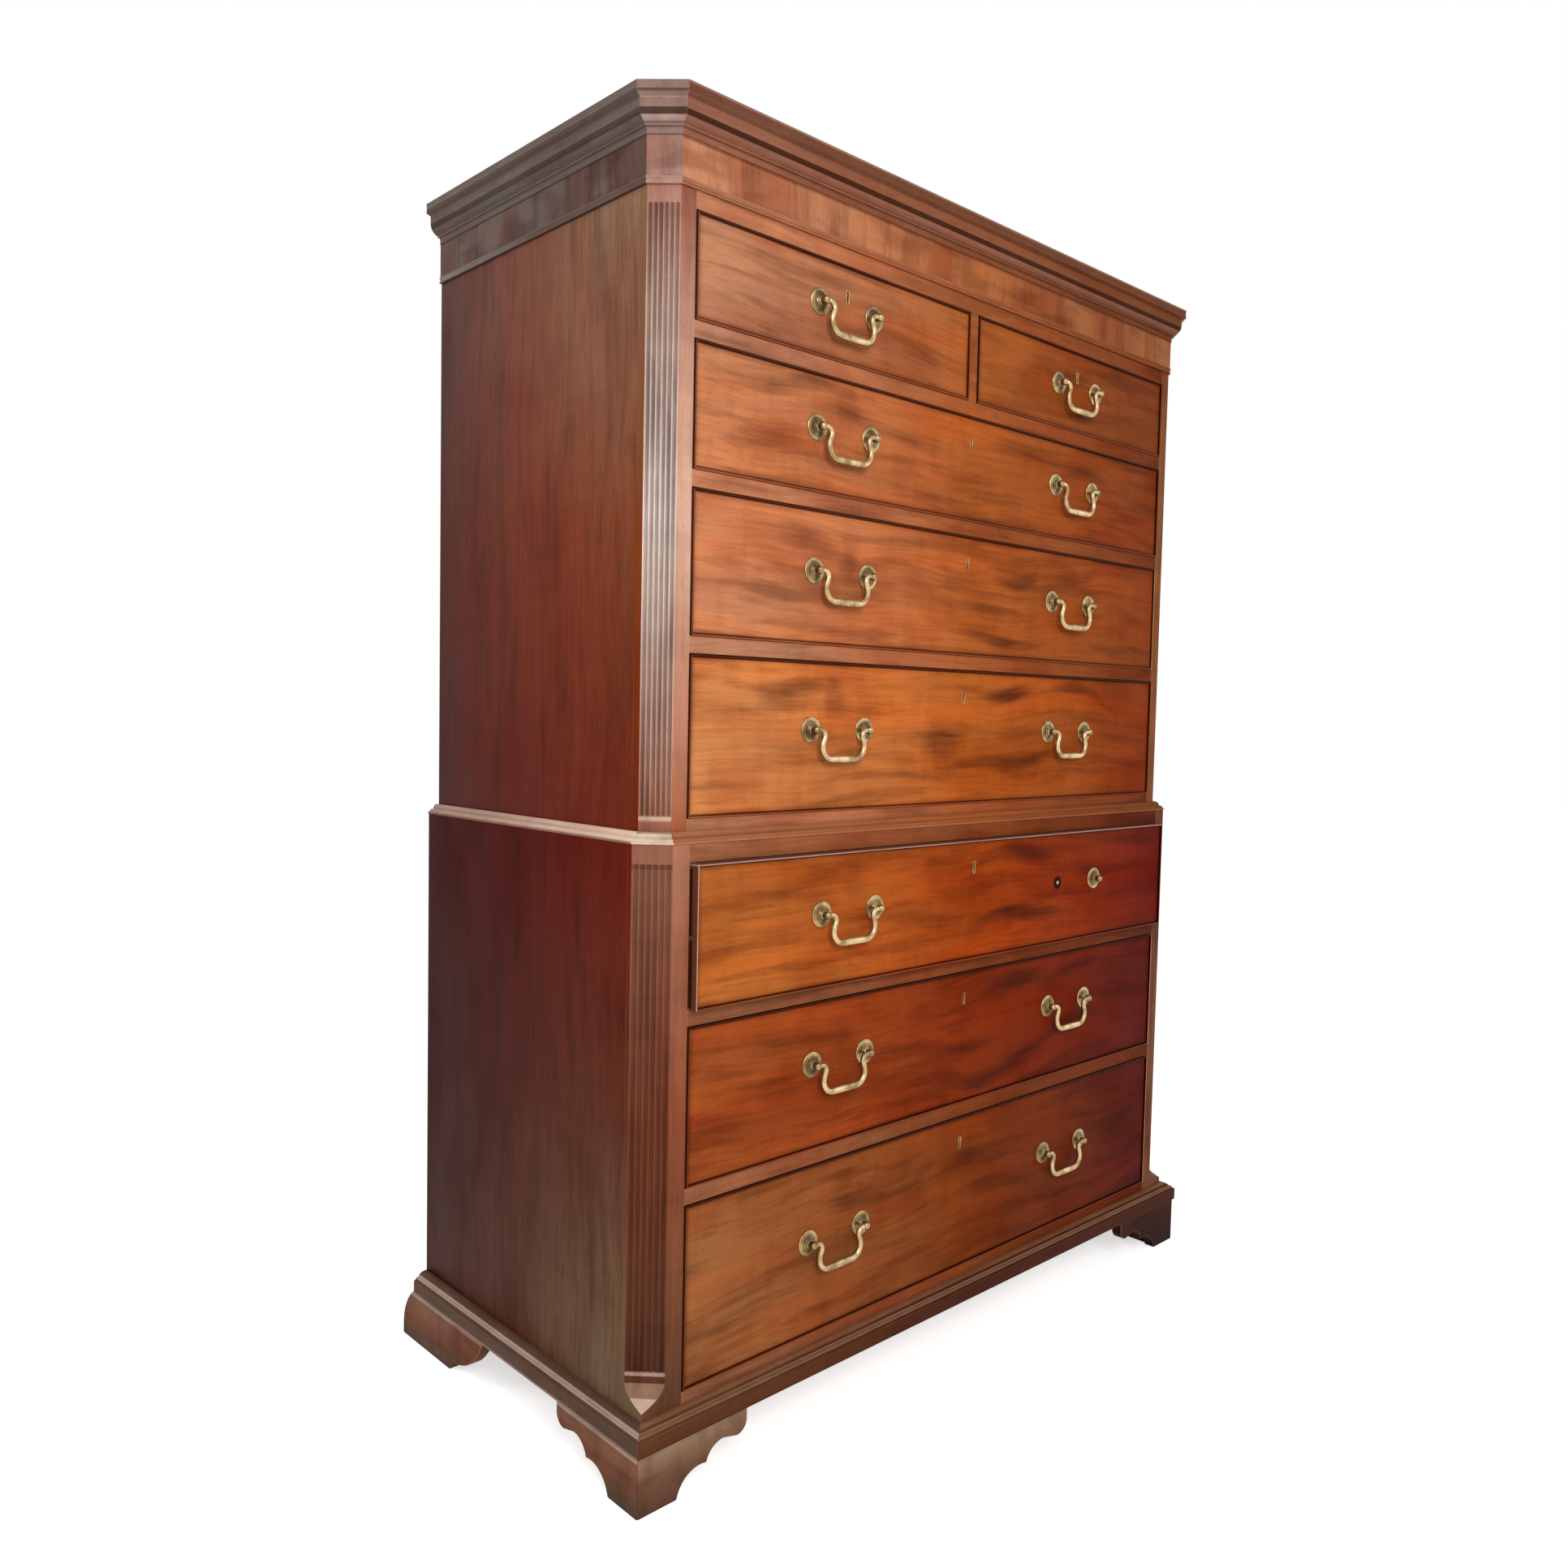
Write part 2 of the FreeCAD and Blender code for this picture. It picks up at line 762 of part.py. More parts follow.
foot_high = cell("foot_height")
foot_thick = cell("foot_thickness")
foot_out = base_out - cell("foot_inset")
toe = cell("foot_toe")
cusp = cell("foot_cusp")
lobe = cell("foot_lobe")
lobe_radius = cell("foot_lobe_radius")
foot_length = cell("foot_length")


def bracket(name, points, hand, mitred, x, y, angle):
    """A sawn board along its own X, away from the corner at its origin, with its face on y = 0."""
    body = doc.addObject("PartDesign::Body", name)
    shape = [(as_size(p[0]) * hand, p[1], *[as_size(r) * hand for r in p[2:]]) for p in points]
    face = sketch_on(body, f"{name}_face", "XZ_Plane", [shape])
    pad(body, f"{name}_thickness", face, foot_thick, backwards=True)
    if mitred:
        far = foot_thick + 1
        wedge = [(-1 * hand, -1), (far * hand, far), (-1 * hand, far)]
        line = sketch_on(body, f"{name}_mitre_line", "XY_Plane", [wedge])
        pocket_through(body, f"{name}_mitre", line)
    bind_place(body, x, y, 0, angle)
    return body


foot_front = lower_front - foot_out
foot_side = lower_half + foot_out
# the sawn edge runs from a round lobe through two hollows, with a cusp between them, to the toe
hollow_start = foot_length - cell("foot_lobe_width")
cusp_place = (hollow_start + toe) / 2 + lobe_radius * 0.6
front_outline = [
    (0, 0),
    (0, foot_high),
    (foot_length, foot_high),
    (foot_length, lobe + lobe_radius, -lobe_radius),
    (foot_length - lobe_radius, lobe),
    (hollow_start, lobe + cusp * 0.2, cusp * 0.95),
    (cusp_place, cusp, cusp * 1.3),
    (toe, 0),
]
# the heel of a back foot sweeps out behind the case in a quarter hollow, upright at the floor
heel = cell("back_foot_heel")
heel_upright = foot_high * 0.2
heel_run = heel * 0.8
heel_rise = foot_high - heel_upright
heel_radius = (heel_run * heel_run + heel_rise * heel_rise) / (heel_run * 2)
back_tip = cell("back_foot_tip")
back_outline = [
    (-heel, 0),
    (-heel, heel_upright, -heel_radius),
    (heel_run - heel, foot_high),
    (cell("back_foot_length"), foot_high, -foot_high * 1.25),
    (cell("back_foot_toe") + back_tip * 0.7, back_tip),
    (cell("back_foot_toe"), 0),
]
back_plate = cell("back_bracket_length")
plain_outline = [
    (foot_thick, 0),
    (foot_thick, foot_high),
    (back_plate, foot_high, foot_high * 1.2),
    (foot_thick + toe * 0.5, 0),
]
block = cell("glue_block")
front_feet = []
back_feet = []
for side, word in ((-1, "left"), (1, "right")):
    corner = side * foot_side
    front_feet.append(
        bracket(f"front_foot_{word}_front", front_outline, -side, True, corner, foot_front, 0)
    )
    front_feet.append(
        bracket(f"front_foot_{word}_side", front_outline, side, True, corner, foot_front, 90 * side)
    )
    back_feet.append(
        bracket(f"back_foot_{word}_side", back_outline, -side, False, corner, back, 90 * side)
    )
    back_feet.append(
        bracket(f"back_foot_{word}_back", plain_outline, side, False, corner, back, 180)
    )
    inner = sorted_pair(side, foot_side - foot_thick - block, foot_side - foot_thick)
    front_block = (foot_front + foot_thick, foot_front + foot_thick + block)
    front_feet.append(box(f"front_block_{word}", inner, front_block, (2, foot_high)))
    back_block = (back - foot_thick - block, back - foot_thick)
    back_feet.append(box(f"back_block_{word}", inner, back_block, (2, foot_high)))
node("front_feet", front_feet)
node("back_feet", back_feet)


# ---- brasses

spacing = cell("post_spacing")
# small round brasses have this many flats, and this much of their radius reaches the middle of a flat
ROSE_SIDES = 12
POST_SIDES = 8
PIN_SIDES = 6
NECK_STEPS = 3
CORNER_STEPS = 4
POST_FLAT = math.cos(math.pi / POST_SIDES)
PIN_FLAT = math.cos(math.pi / PIN_SIDES)


def prism(name, sides, radius, low, high):
    """A regular many-sided prism about its own Z."""
    piece = doc.addObject("Part::Prism", name)
    piece.Polygon = sides
    bind(piece, "Circumradius", radius)
    bind(piece, "Height", as_size(high) - low)
    bind_place(piece, 0, 0, low)
    return piece


def rose_shape(name):
    """A rose and its post in one piece, with the bail's pivot hole running in from its own +X."""
    plate = prism(f"{name}_plate", ROSE_SIDES, cell("rose_radius"), 0, cell("rose_thickness"))
    post = prism(f"{name}_post", POST_SIDES, cell("post_radius"), 0, cell("post_length"))
    post.Placement.Rotation = FreeCAD.Rotation(axis_z, 180 / POST_SIDES)
    hole_radius = (cell("pivot_radius") + cell("pivot_clearance")) / PIN_FLAT
    hole = prism(f"{name}_hole", PIN_SIDES, hole_radius, 0, cell("rose_radius"))
    hole.Placement.Rotation = FreeCAD.Rotation(FreeCAD.Vector(0, 1, 0), 90)
    bottom = cell("post_radius") * POST_FLAT - cell("pivot_depth") - cell("pivot_clearance")
    bind_corner(hole, bottom, 0, cell("pivot_stand"))
    return cut(name, fuse(f"{name}_turning", [plate, post]), [hole])


def escutcheon_shape(name):
    """A thin brass lining round a keyhole, broad in the head and narrow in the foot."""
    body = doc.addObject("PartDesign::Body", name)
    half_width = cell("keyhole_width") / 2
    half_height = cell("keyhole_height") / 2

    def keyhole(grow):
        wide = half_width + grow
        tall = half_height + grow
        return [
            (-wide * 0.5, tall),
            (wide * 0.5, tall),
            (wide, half_height - half_width),
            (wide * 0.7, -tall),
            (-wide * 0.7, -tall),
            (-wide, half_height - half_width),
        ]

    lining = sketch_on(body, f"{name}_plan", "XZ_Plane", [keyhole(cell("escutcheon_wall")), keyhole(0)])
    pad(body, f"{name}_stand", lining, cell("escutcheon_stand"))
    return body


def bail_rings():
    """Sections of a swan-necked bail from its right pin to the middle of its grip.

    The bar runs in from the pin, round the neck and past the upright, out along the flare,
    and round the corner into the grip, which swells to its middle.
    """
    bar = cell("bail_radius").value
    neck = cell("bail_neck_radius").value
    corner = cell("bail_corner_radius").value
    flare = math.radians(cell("bail_flare").value)
    half = spacing.value / 2
    post_face = cell("post_radius").value * POST_FLAT
    pin_end = half - post_face + cell("pivot_depth").value
    neck_start = half - post_face - cell("pivot_collar").value
    turn = math.pi / 2 + flare

    def ring(x, z, heading, size, stretch=1):
        """A regular section across the bar, which heads in the XZ plane at an angle from +X."""
        points = []
        for index in range(PIN_SIDES):
            angle = 2 * math.pi * index / PIN_SIDES
            out = math.sin(angle) * size * stretch
            points.append(FreeCAD.Vector(
                x - out * math.sin(heading), math.cos(angle) * size, z + out * math.cos(heading)
            ))
        return points

    rings = [
        ring(pin_end, 0, math.pi, cell("pivot_radius").value),
        ring(neck_start, 0, math.pi, cell("pivot_radius").value),
    ]
    # the neck turns left about a centre below its start
    x, z = neck_start, -neck
    step = turn / NECK_STEPS
    mitre = 1 / math.cos(step / 2)
    for index in range(1, NECK_STEPS + 1):
        heading = math.pi + step * index
        stretch = mitre if index < NECK_STEPS else 1
        rings.append(ring(
            x + neck * math.sin(heading), z - neck * math.cos(heading), heading, bar, stretch
        ))
    x += neck * math.sin(heading)
    z -= neck * math.cos(heading)
    # the straight flare ends where the corner, turning right, will finish level with the grip
    straight = (z + cell("bail_drop").value - corner * (1 - math.cos(turn))) / math.cos(flare)
    x += straight * math.cos(heading)
    z += straight * math.sin(heading)
    centre_x = x + corner * math.sin(heading)
    centre_z = z - corner * math.cos(heading)
    start = heading
    step = turn / CORNER_STEPS
    mitre = 1 / math.cos(step / 2)
    for index in range(CORNER_STEPS + 1):
        heading = start - step * index
        stretch = 1 if index in (0, CORNER_STEPS) else mitre
        rings.append(ring(
            centre_x - corner * math.sin(heading), centre_z + corner * math.cos(heading),
            heading, bar, stretch,
        ))
    rings.append(ring(0, -cell("bail_drop").value, heading, cell("bail_grip_radius").value))
    return rings


def bail_shape():
    """The whole bail as one bar, its left half the mirror of its right."""
    right = bail_rings()
    left = [[FreeCAD.Vector(-p.x, p.y, p.z) for p in ring] for ring in reversed(right[:-1])]
    rings = right + left
    faces = []
    for ring, after in zip(rings, rings[1:]):
        for index in range(PIN_SIDES):
            beside = (index + 1) % PIN_SIDES
            corners = (ring[index], ring[beside], after[beside], after[index])
            faces.append(polygon_face([corners[0], corners[1], corners[2]]))
            faces.append(polygon_face([corners[0], corners[2], corners[3]]))
    faces += [polygon_face(rings[0]), polygon_face(rings[-1])]
    solid = Part.Solid(Part.Shell(faces))
    if solid.Volume < 0:
        solid.reverse()
    return solid.removeSplitter()


def polygon_face(points):
    return Part.Face(Part.makePolygon([*points, points[0]]))


rose_pattern = rose_shape("rose_pattern")
escutcheon_pattern = escutcheon_shape("escutcheon_pattern")
doc.recompute()
bail_pattern = bail_shape()
# the rose's axis runs out of the drawer front, with its pivot hole to the right or to the left
ROSE_RIGHT = FreeCAD.Rotation(axis_x, 90)
ROSE_LEFT = FreeCAD.Rotation(axis_z, 180).multiply(FreeCAD.Rotation(axis_x, -90))


def copy_of(name, shape, x, y, z, turn=FreeCAD.Rotation()):
    piece = doc.addObject("Part::Feature", name)
    piece.Shape = shape.copy()
    piece.Placement = FreeCAD.Placement(FreeCAD.Vector(), turn)
    bind_corner(piece, x, y, z)
    return piece


def handle(name, x, y, z, missing=()):
    """The two roses of a handle, less any that are missing, at the height of its pivots."""
    posts = []
    for side, word, turn in ((-1, "left", ROSE_RIGHT), (1, "right", ROSE_LEFT)):
        if word in missing:
            continue
        post_x = x + side * spacing / 2
        posts.append(copy_of(f"{name}_{word}_post", rose_pattern.Shape, post_x, y, z, turn))
    return posts


# ---- drawers


def wedge(name, x, y, z, narrow):
    """A dovetail across x, as tall as z at the low y and narrower by the flare at the other end."""
    piece = doc.addObject("Part::Wedge", name)
    low, high = z
    flare = cell("dovetail_flare")
    low_y, high_y = (flare, as_size(0)) if narrow == "low" else (as_size(0), flare)
    for path, value in (
        ("Xmin", 0), ("Xmax", x[1] - x[0]), ("X2min", 0), ("X2max", x[1] - x[0]),
        ("Ymin", 0), ("Ymax", y[1] - y[0]),
        ("Zmin", low_y), ("Zmax", high - low - low_y),
        ("Z2min", high_y), ("Z2max", high - low - high_y),
    ):
        bind(piece, path, value)
    bind_place(piece, x[0], y[0], low)
    return piece


def dovetails(name, x, y, low, high, narrow):
    """Tails in a row from low to high, with pins between them and half pins at both ends."""
    count = max(2, round((high - low).value / cell("dovetail_pitch").value))
    pitch = (high - low) / count
    pin = cell("dovetail_pin") / 2
    return [
        wedge(
            f"{name}_{index + 1}", x, y,
            (low + pitch * index + pin, low + pitch * (index + 1) - pin), narrow,
        )
        for index in range(count)
    ]


def drawer(name, opening_x, opening_z, front, handles, ajar=0):
    """One drawer in its opening: cockbeaded front, dovetailed box, and brasses."""
    gap = cell("drawer_gap")
    bead = cell("cockbead")
    thickness = cell("front_thickness")
    lap = cell("front_lap")
    proud = cell("cockbead_stand")
    board = cell("drawer_side")
    left = opening_x[0] + gap
    right = opening_x[1] - gap
    low = opening_z[0] + cell("drawer_running_gap")
    high = opening_z[1] - gap
    face = front - ajar
    inner = face + thickness
    end = back_inside - cell("drawer_clearance_behind") - ajar
    back_face = end - cell("drawer_back")
    top = high - bead
    bottom = low + cell("drawer_runner")
    floor = bottom + cell("drawer_bottom")
    back_top = top - cell("drawer_back_drop")

    # front, rebated for the beads at both ends and along the bottom, with sockets for the side's tails
    sides = {"left": (left, left + board), "right": (right - board, right)}
    tails = {}
    cut_y = (face - 1, face + lap)
    tools = [
        box(f"{name}_left_rebate", (left - 1, left + bead), cut_y, (low - 1, top + 1)),
        box(f"{name}_right_rebate", (right - bead, right + 1), cut_y, (low - 1, top + 1)),
        box(f"{name}_bottom_rebate", (left - 1, right + 1), cut_y, (low - 1, low + bead)),
    ]
    for word, across_side in sides.items():
        tail_y = (face + lap, inner)
        tails[word] = dovetails(f"{name}_{word}_front_tail", across_side, tail_y, low, top, "high")
        tools += tails[word]
    middle = (left + right) / 2
    key_z = handles["keyhole"]
    lock_x = (middle - cell("lock_width") / 2, middle + cell("lock_width") / 2)
    lock_y = (inner - cell("lock_thickness"), inner)
    lock_z = (top - cell("lock_height"), top)
    tools.append(box(f"{name}_lock_mortise", lock_x, (lock_y[0], inner + 1), (lock_z[0], top + 1)))
    key_half = cell("keyhole_width") / 2 - cell("escutcheon_wall") / 2
    key_tall = cell("keyhole_height") / 2 - cell("escutcheon_wall")
    tools.append(box(
        f"{name}_keyhole", (middle - key_half, middle + key_half),
        (face - 1, inner + 1), (key_z - key_tall, key_z + key_tall),
    ))
    for index, (x, z) in enumerate(handles["bare_holes"]):
        hole = prism(f"{name}_bare_hole_{index + 1}", POST_SIDES, cell("shank_radius"), 0, thickness + 2)
        hole.Placement.Rotation = FreeCAD.Rotation(axis_x, -90)
        bind_corner(hole, x, face - 1, z)
        tools.append(hole)
    blank = box(f"{name}_front_blank", (left, right), (face, inner), (low, top))
    board_front = cut(f"{name}_front_board", blank, tools)
    rebate_y = (face - proud, face + lap)
    node(f"{name}_front", [
        board_front,
        box(f"{name}_top_bead", (left, right), (face - proud, inner), (top, high)),
        box(f"{name}_bottom_bead", (left + bead, right - bead), rebate_y, (low, low + bead)),
        box(f"{name}_left_bead", (left, left + bead), rebate_y, (low, top)),
        box(f"{name}_right_bead", (right - bead, right), rebate_y, (low, top)),
    ])

    # box: sides with tails at both ends, back between them above the bottom, runners below it
    pieces = []
    sockets = []
    for word, across_side in sides.items():
        back_tails = dovetails(
            f"{name}_{word}_back_tail", across_side, (back_face, end), floor, back_top, "low"
        )
        sockets += back_tails
        plank = box(f"{name}_{word}_plank", across_side, (inner, back_face), (low, top))
        pieces.append(fuse(f"{name}_{word}_side", [plank, *tails[word], *back_tails]))
    back_blank = box(f"{name}_back_blank", (left, right), (back_face, end), (floor, back_top))
    pieces.append(cut(f"{name}_back", back_blank, sockets))
    within = (left + board, right - board)
    pieces.append(box(f"{name}_bottom", within, (inner, end), (bottom, floor)))
    strip = cell("drawer_runner_width")
    pieces.append(box(f"{name}_left_runner", (within[0], within[0] + strip), (inner, end), (low, bottom)))
    pieces.append(box(f"{name}_right_runner", (within[1] - strip, within[1]), (inner, end), (low, bottom)))
    node(f"{name}_box", pieces)

    # brasses
    brasses = []
    for word, x, missing in handles["places"]:
        brasses += handle(f"{name}_{word}", x, face, handles["height"], missing)
    brasses.append(copy_of(f"{name}_escutcheon", escutcheon_pattern.Shape, middle, face, key_z))
    brasses.append(box(f"{name}_lock", lock_x, lock_y, lock_z))
    node(f"{name}_brasses", brasses)
    pivot_y = face - cell("pivot_stand")
    for word, x, missing in handles["places"]:
        if missing:
            continue
        label = f"{name}_bail_{word}" if len(handles["places"]) > 1 else f"{name}_bail"
        node(label, [copy_of(f"{label}_bar", bail_pattern, x, pivot_y, handles["height"])])


def long_drawer(name, opening, low, high, front, ajar=0, missing=(), rise=0):
    spread = cell("handle_spread")
    height = low + (high - low) * cell("handle_share") + rise
    bare = [(spread - spacing / 2, height)] if missing else []
    handles = {
        "places": (("left", -spread, ()), ("right", spread, missing)),
        "height": height,
        "keyhole": high - cell("keyhole_drop"),
        "bare_holes": bare,
    }
    drawer(name, (-opening, opening), (low, high), front, handles, ajar)


def short_drawer(name, side, low, high):
    inner = cell("divider_width") / 2
    opening = sorted_pair(side, inner, upper_opening)
    height = low + (high - low) * cell("handle_share")
    handles = {
        "places": (("middle", side * (inner + upper_opening) / 2, ()),),
        "height": height,
        "keyhole": high - cell("keyhole_drop"),
        "bare_holes": [],
    }
    drawer(name, opening, (low, high), upper_front, handles)


long_drawer("lower_bottom_drawer", lower_opening, lower_bottom_low, lower_bottom_high, lower_front)
long_drawer(
    "lower_middle_drawer", lower_opening, lower_middle_low, lower_middle_high, lower_front,
    rise=cell("lower_middle_handle_rise"),
)
# the bail and the left post are lost from the right of this drawer, which stands a little open
long_drawer(
    "lower_top_drawer", lower_opening, lower_top_low, lower_top_high, lower_front,
    cell("drawer_ajar"), ("left",),
)
long_drawer("upper_bottom_drawer", upper_opening, upper_bottom_low, upper_bottom_high, upper_front)
long_drawer("upper_middle_drawer", upper_opening, upper_middle_low, upper_middle_high, upper_front)
long_drawer("upper_top_drawer", upper_opening, upper_top_low, upper_top_high, upper_front)
short_drawer("short_drawer_left", -1, short_low, short_high)
short_drawer("short_drawer_right", 1, short_low, short_high)


# ---- checks and files

doc.recompute()
for piece in doc.Objects:
    if "Invalid" in piece.State or "Error" in piece.State:
        raise RuntimeError(f"{piece.Label} did not build: {piece.State}")
for piece in nodes:
    if piece.Shape.isNull() or not piece.Shape.isValid() or not piece.Shape.Solids:
        raise RuntimeError(f"{piece.Label} has no valid solid")

os.makedirs("parts", exist_ok=True)
for piece in nodes:
    piece.Shape.exportStep(f"parts/{piece.Label}.step")
print(f"{len(nodes)} nodes, {sum(len(piece.Shape.Solids) for piece in nodes)} solids")
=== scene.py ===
import json
import math

import bmesh
import bpy
import numpy as np
from mathutils import Matrix, Vector

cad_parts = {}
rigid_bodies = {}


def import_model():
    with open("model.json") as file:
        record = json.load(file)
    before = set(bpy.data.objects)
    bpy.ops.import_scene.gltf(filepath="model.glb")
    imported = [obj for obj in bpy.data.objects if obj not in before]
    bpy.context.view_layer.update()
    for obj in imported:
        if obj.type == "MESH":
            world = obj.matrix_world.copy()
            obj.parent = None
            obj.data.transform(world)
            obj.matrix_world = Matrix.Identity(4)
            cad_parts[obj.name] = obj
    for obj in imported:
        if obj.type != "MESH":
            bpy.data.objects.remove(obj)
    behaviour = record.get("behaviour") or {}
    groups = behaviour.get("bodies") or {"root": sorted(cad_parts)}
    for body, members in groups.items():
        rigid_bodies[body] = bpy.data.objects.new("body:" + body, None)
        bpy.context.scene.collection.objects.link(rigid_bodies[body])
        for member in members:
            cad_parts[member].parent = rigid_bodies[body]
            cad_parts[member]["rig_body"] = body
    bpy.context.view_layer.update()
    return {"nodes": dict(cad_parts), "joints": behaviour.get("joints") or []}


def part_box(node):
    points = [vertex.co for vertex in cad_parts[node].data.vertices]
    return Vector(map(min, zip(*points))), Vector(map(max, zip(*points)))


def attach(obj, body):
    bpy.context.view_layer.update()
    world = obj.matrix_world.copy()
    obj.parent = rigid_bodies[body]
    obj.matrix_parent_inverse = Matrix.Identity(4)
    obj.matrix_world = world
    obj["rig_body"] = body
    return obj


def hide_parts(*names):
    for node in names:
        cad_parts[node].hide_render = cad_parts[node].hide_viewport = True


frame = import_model()
nodes = frame["nodes"]
mm = 0.001

drawers = (
    "lower_bottom_drawer", "lower_middle_drawer", "lower_top_drawer", "upper_bottom_drawer",
    "upper_middle_drawer", "upper_top_drawer", "short_drawer_left", "short_drawer_right",
)


def linear(tone):  # sRGB hex to linear colour
    parts = np.array([int(tone[i:i + 2], 16) for i in (1, 3, 5)]) / 255
    return (*np.where(parts <= 0.04045, parts / 12.92, ((parts + 0.055) / 1.055) ** 2.4), 1.0)


def add(tree, kind, inputs=None, ramp=None, **settings):
    # one shader node with its settings, its links and values, and the stops of its ramp
    node = tree.nodes.new("ShaderNode" + kind)
    for name, value in settings.items():
        setattr(node, name, value)
    for key, value in (inputs or {}).items():
        if isinstance(value, bpy.types.NodeSocket):
            tree.links.new(value, node.inputs[key])
        else:
            node.inputs[key].default_value = value
    for spot, (position, tone) in enumerate(ramp or []):
        stops = node.color_ramp.elements
        stop = stops[spot] if spot < 2 else stops.new(position)
        stop.position, stop.color = position, linear(tone)
    return node


def newTree(name):
    material = bpy.data.materials.new(name)
    material.use_nodes = True
    material.node_tree.nodes.clear()
    return material, material.node_tree


# along and across the grain in mm, detail and roughness of each layer of the figure
mahoganyLayers = {
    "ribbon": (420, 60, 2.0, 0.5),
    "smoke": (220, 24, 3.0, 0.55),
    "line": (170, 4.5, 2.0, 0.6),  # the real lines are 0.5 mm apart
    "pore": (12, 1.0, 1.0, 0.5),  # the real pores are 0.2 mm wide
    "cloud": (200, 90, 2.0, 0.5),
    "mottle": (26, 90, 1.0, 0.5),
}
pineLayers = {
    "ribbon": (1500, 45, 2.0, 0.5),
    "smoke": (900, 14, 2.0, 0.5),
    "line": (500, 5.0, 2.0, 0.5),
    "pore": (30, 1.4, 1.0, 0.5),
    "cloud": (260, 160, 3.0, 0.6),
    "mottle": (60, 60, 2.0, 0.5),
}
slowNoise = {"scale": 3.2, "across": 3.1, "height": 1.7}  # its size, and where a seed reads it
seedStep, layerStep = 5.3, 2.9  # how far apart the noises of two seeds and of two layers are read
ribbonRange = (0.40, 0.64)  # where in its noise the golden layer begins and where it is full
layerRange = {  # the same for the darkening layers
    "cloud": (0.42, 0.66), "smoke": (0.45, 0.70), "line": (0.40, 0.72), "mottle": (0.42, 0.66),
    "pore": (0.58, 0.72),
}
plainLook = {
    # the wave is how far in mm the whole range of the slow noise moves the grain
    "layers": mahoganyLayers, "grain": "x", "seed": 0.0, "wave": 48,
    # the fades, the bands and the side's and cant's own tones carry painted light and shade as well as the
    # wood's tone
    # the face's tone, fades and bands, those of its side and cant, and what tells the three faces apart
    "tone": "#8A4A28", "fades": (), "bands": (), "side": None, "cant": None,
    "turnAt": None, "cantFrom": None, "postAt": None,
    # the figure's tones, and how much of each layer shows
    "gold": "#FFC878", "dark": "#6A4230", "red": "#C07860", "worn": "#C9A084",
    "goldAmount": 0.22, "smokeAmount": 0.4, "lineAmount": 0.2, "cloudAmount": 0.35, "mottleAmount": 0.08,
    "poreAmount": 0.18, "wornAmount": 0.0,
    # smoky patches: how far they stray in mm, and where they begin and are full, in half lengths
    "patches": (), "patchTop": 0, "patchShare": 0.0, "patchTone": "#6E5048", "patchStray": 90,
    "patchEdge": (1.35, 0.35),
    # a drawer front's box in mm, the tones of its bead, of the painted shadow at the joint round it and of
    # worn beads with a painted highlight
    "bead": None, "beadTone": "#8A4228", "joint": "#281009", "paleBeadWearAndHighlight": {},
    # a stain is full up to one share of its radius and gone at another
    "stains": (), "stainTone": "#1A0504", "stainEdge": (0.7, 1.15), "stainShare": 0.97,
    # the flutes' hollows are darkened with dirt and painted shade, in this tone
    "fluteDirtAndShade": 0.0, "fluteDirtAndShadeTone": "#4A2C20",
    # polish: its roughness, how far that strays down and up, and the open grain's share and depth in mm
    "gloss": 0.42, "glossStray": (0.06, 0.1), "specular": 0.035, "sheen": "#FFA060",
    "openGrain": (0.3, 0.2),
}
# in mm from a drawer front's edge: where each thing rises and falls away, and how much of it shows
# near the edge: dirt with painted shade, painted shade in the crease, painted shadow of the gap at the
# joints, wear with a painted highlight on pale beads
beadEdge = {
    "dirtAndShade": (3, 13, 0.6), "dirtAndShadeTone": "#5A2C18", "bead": (2.7, 3.0, 0.55),
    "crease": ((1.4, 2.6), (3.6, 5.6), 0.85), "creaseShadeTone": "#5A2A1A",
    "joints": {"top": (1.7, 2.6), "left": (0.6, 1.4), "right": (0.4, 1.0)}, "gapShadowShare": 0.92,
    "pale": ((0.7, 1.1), (2.5, 2.9), 0.85),
}
bandEdge = 0.5  # mm over which a band of tone fades, each way
mitreEdge = 0.4  # the same where one face's tone ends at a mitre
# mm behind a post's outer planes, between which its side's tone ends and its cant's begins
postEdge = {"side": (0.1, 0.4), "cant": (0.1, 0.5)}


def mapped(tree, value, start, end, low=0.0, high=1.0, smooth=False):
    kind = {"interpolation_type": "SMOOTHSTEP"} if smooth else {}
    return add(tree, "MapRange", {0: value, 1: start, 2: end, 3: low, 4: high}, **kind).outputs[0]


def laid(tree, share, under, over, blend="MIX"):
    over = linear(over) if isinstance(over, str) else over
    return add(tree, "Mix", {0: share, 6: under, 7: over}, data_type="RGBA", blend_type=blend).outputs[2]


def maths(tree, operation, first, second=0.0):
    return add(tree, "Math", {0: first, 1: second}, operation=operation).outputs[0]


def noise(tree, place, scale, detail, rough=0.5, result="Fac"):
    inputs = {"Vector": place, "Scale": scale, "Detail": detail, "Roughness": rough}
    return add(tree, "TexNoise", inputs).outputs[result]


def vectorMaths(tree, operation, inputs, result="Vector"):
    return add(tree, "VectorMath", inputs, operation=operation).outputs[result]


def between(tree, value, rise, fall, share=1.0):
    # the share where a place lies past the rise and before the fall, both from start to end in mm
    risen = mapped(tree, value, rise[0] * mm, rise[1] * mm)
    return maths(tree, "MULTIPLY", risen, mapped(tree, value, fall[0] * mm, fall[1] * mm, share, 0.0))


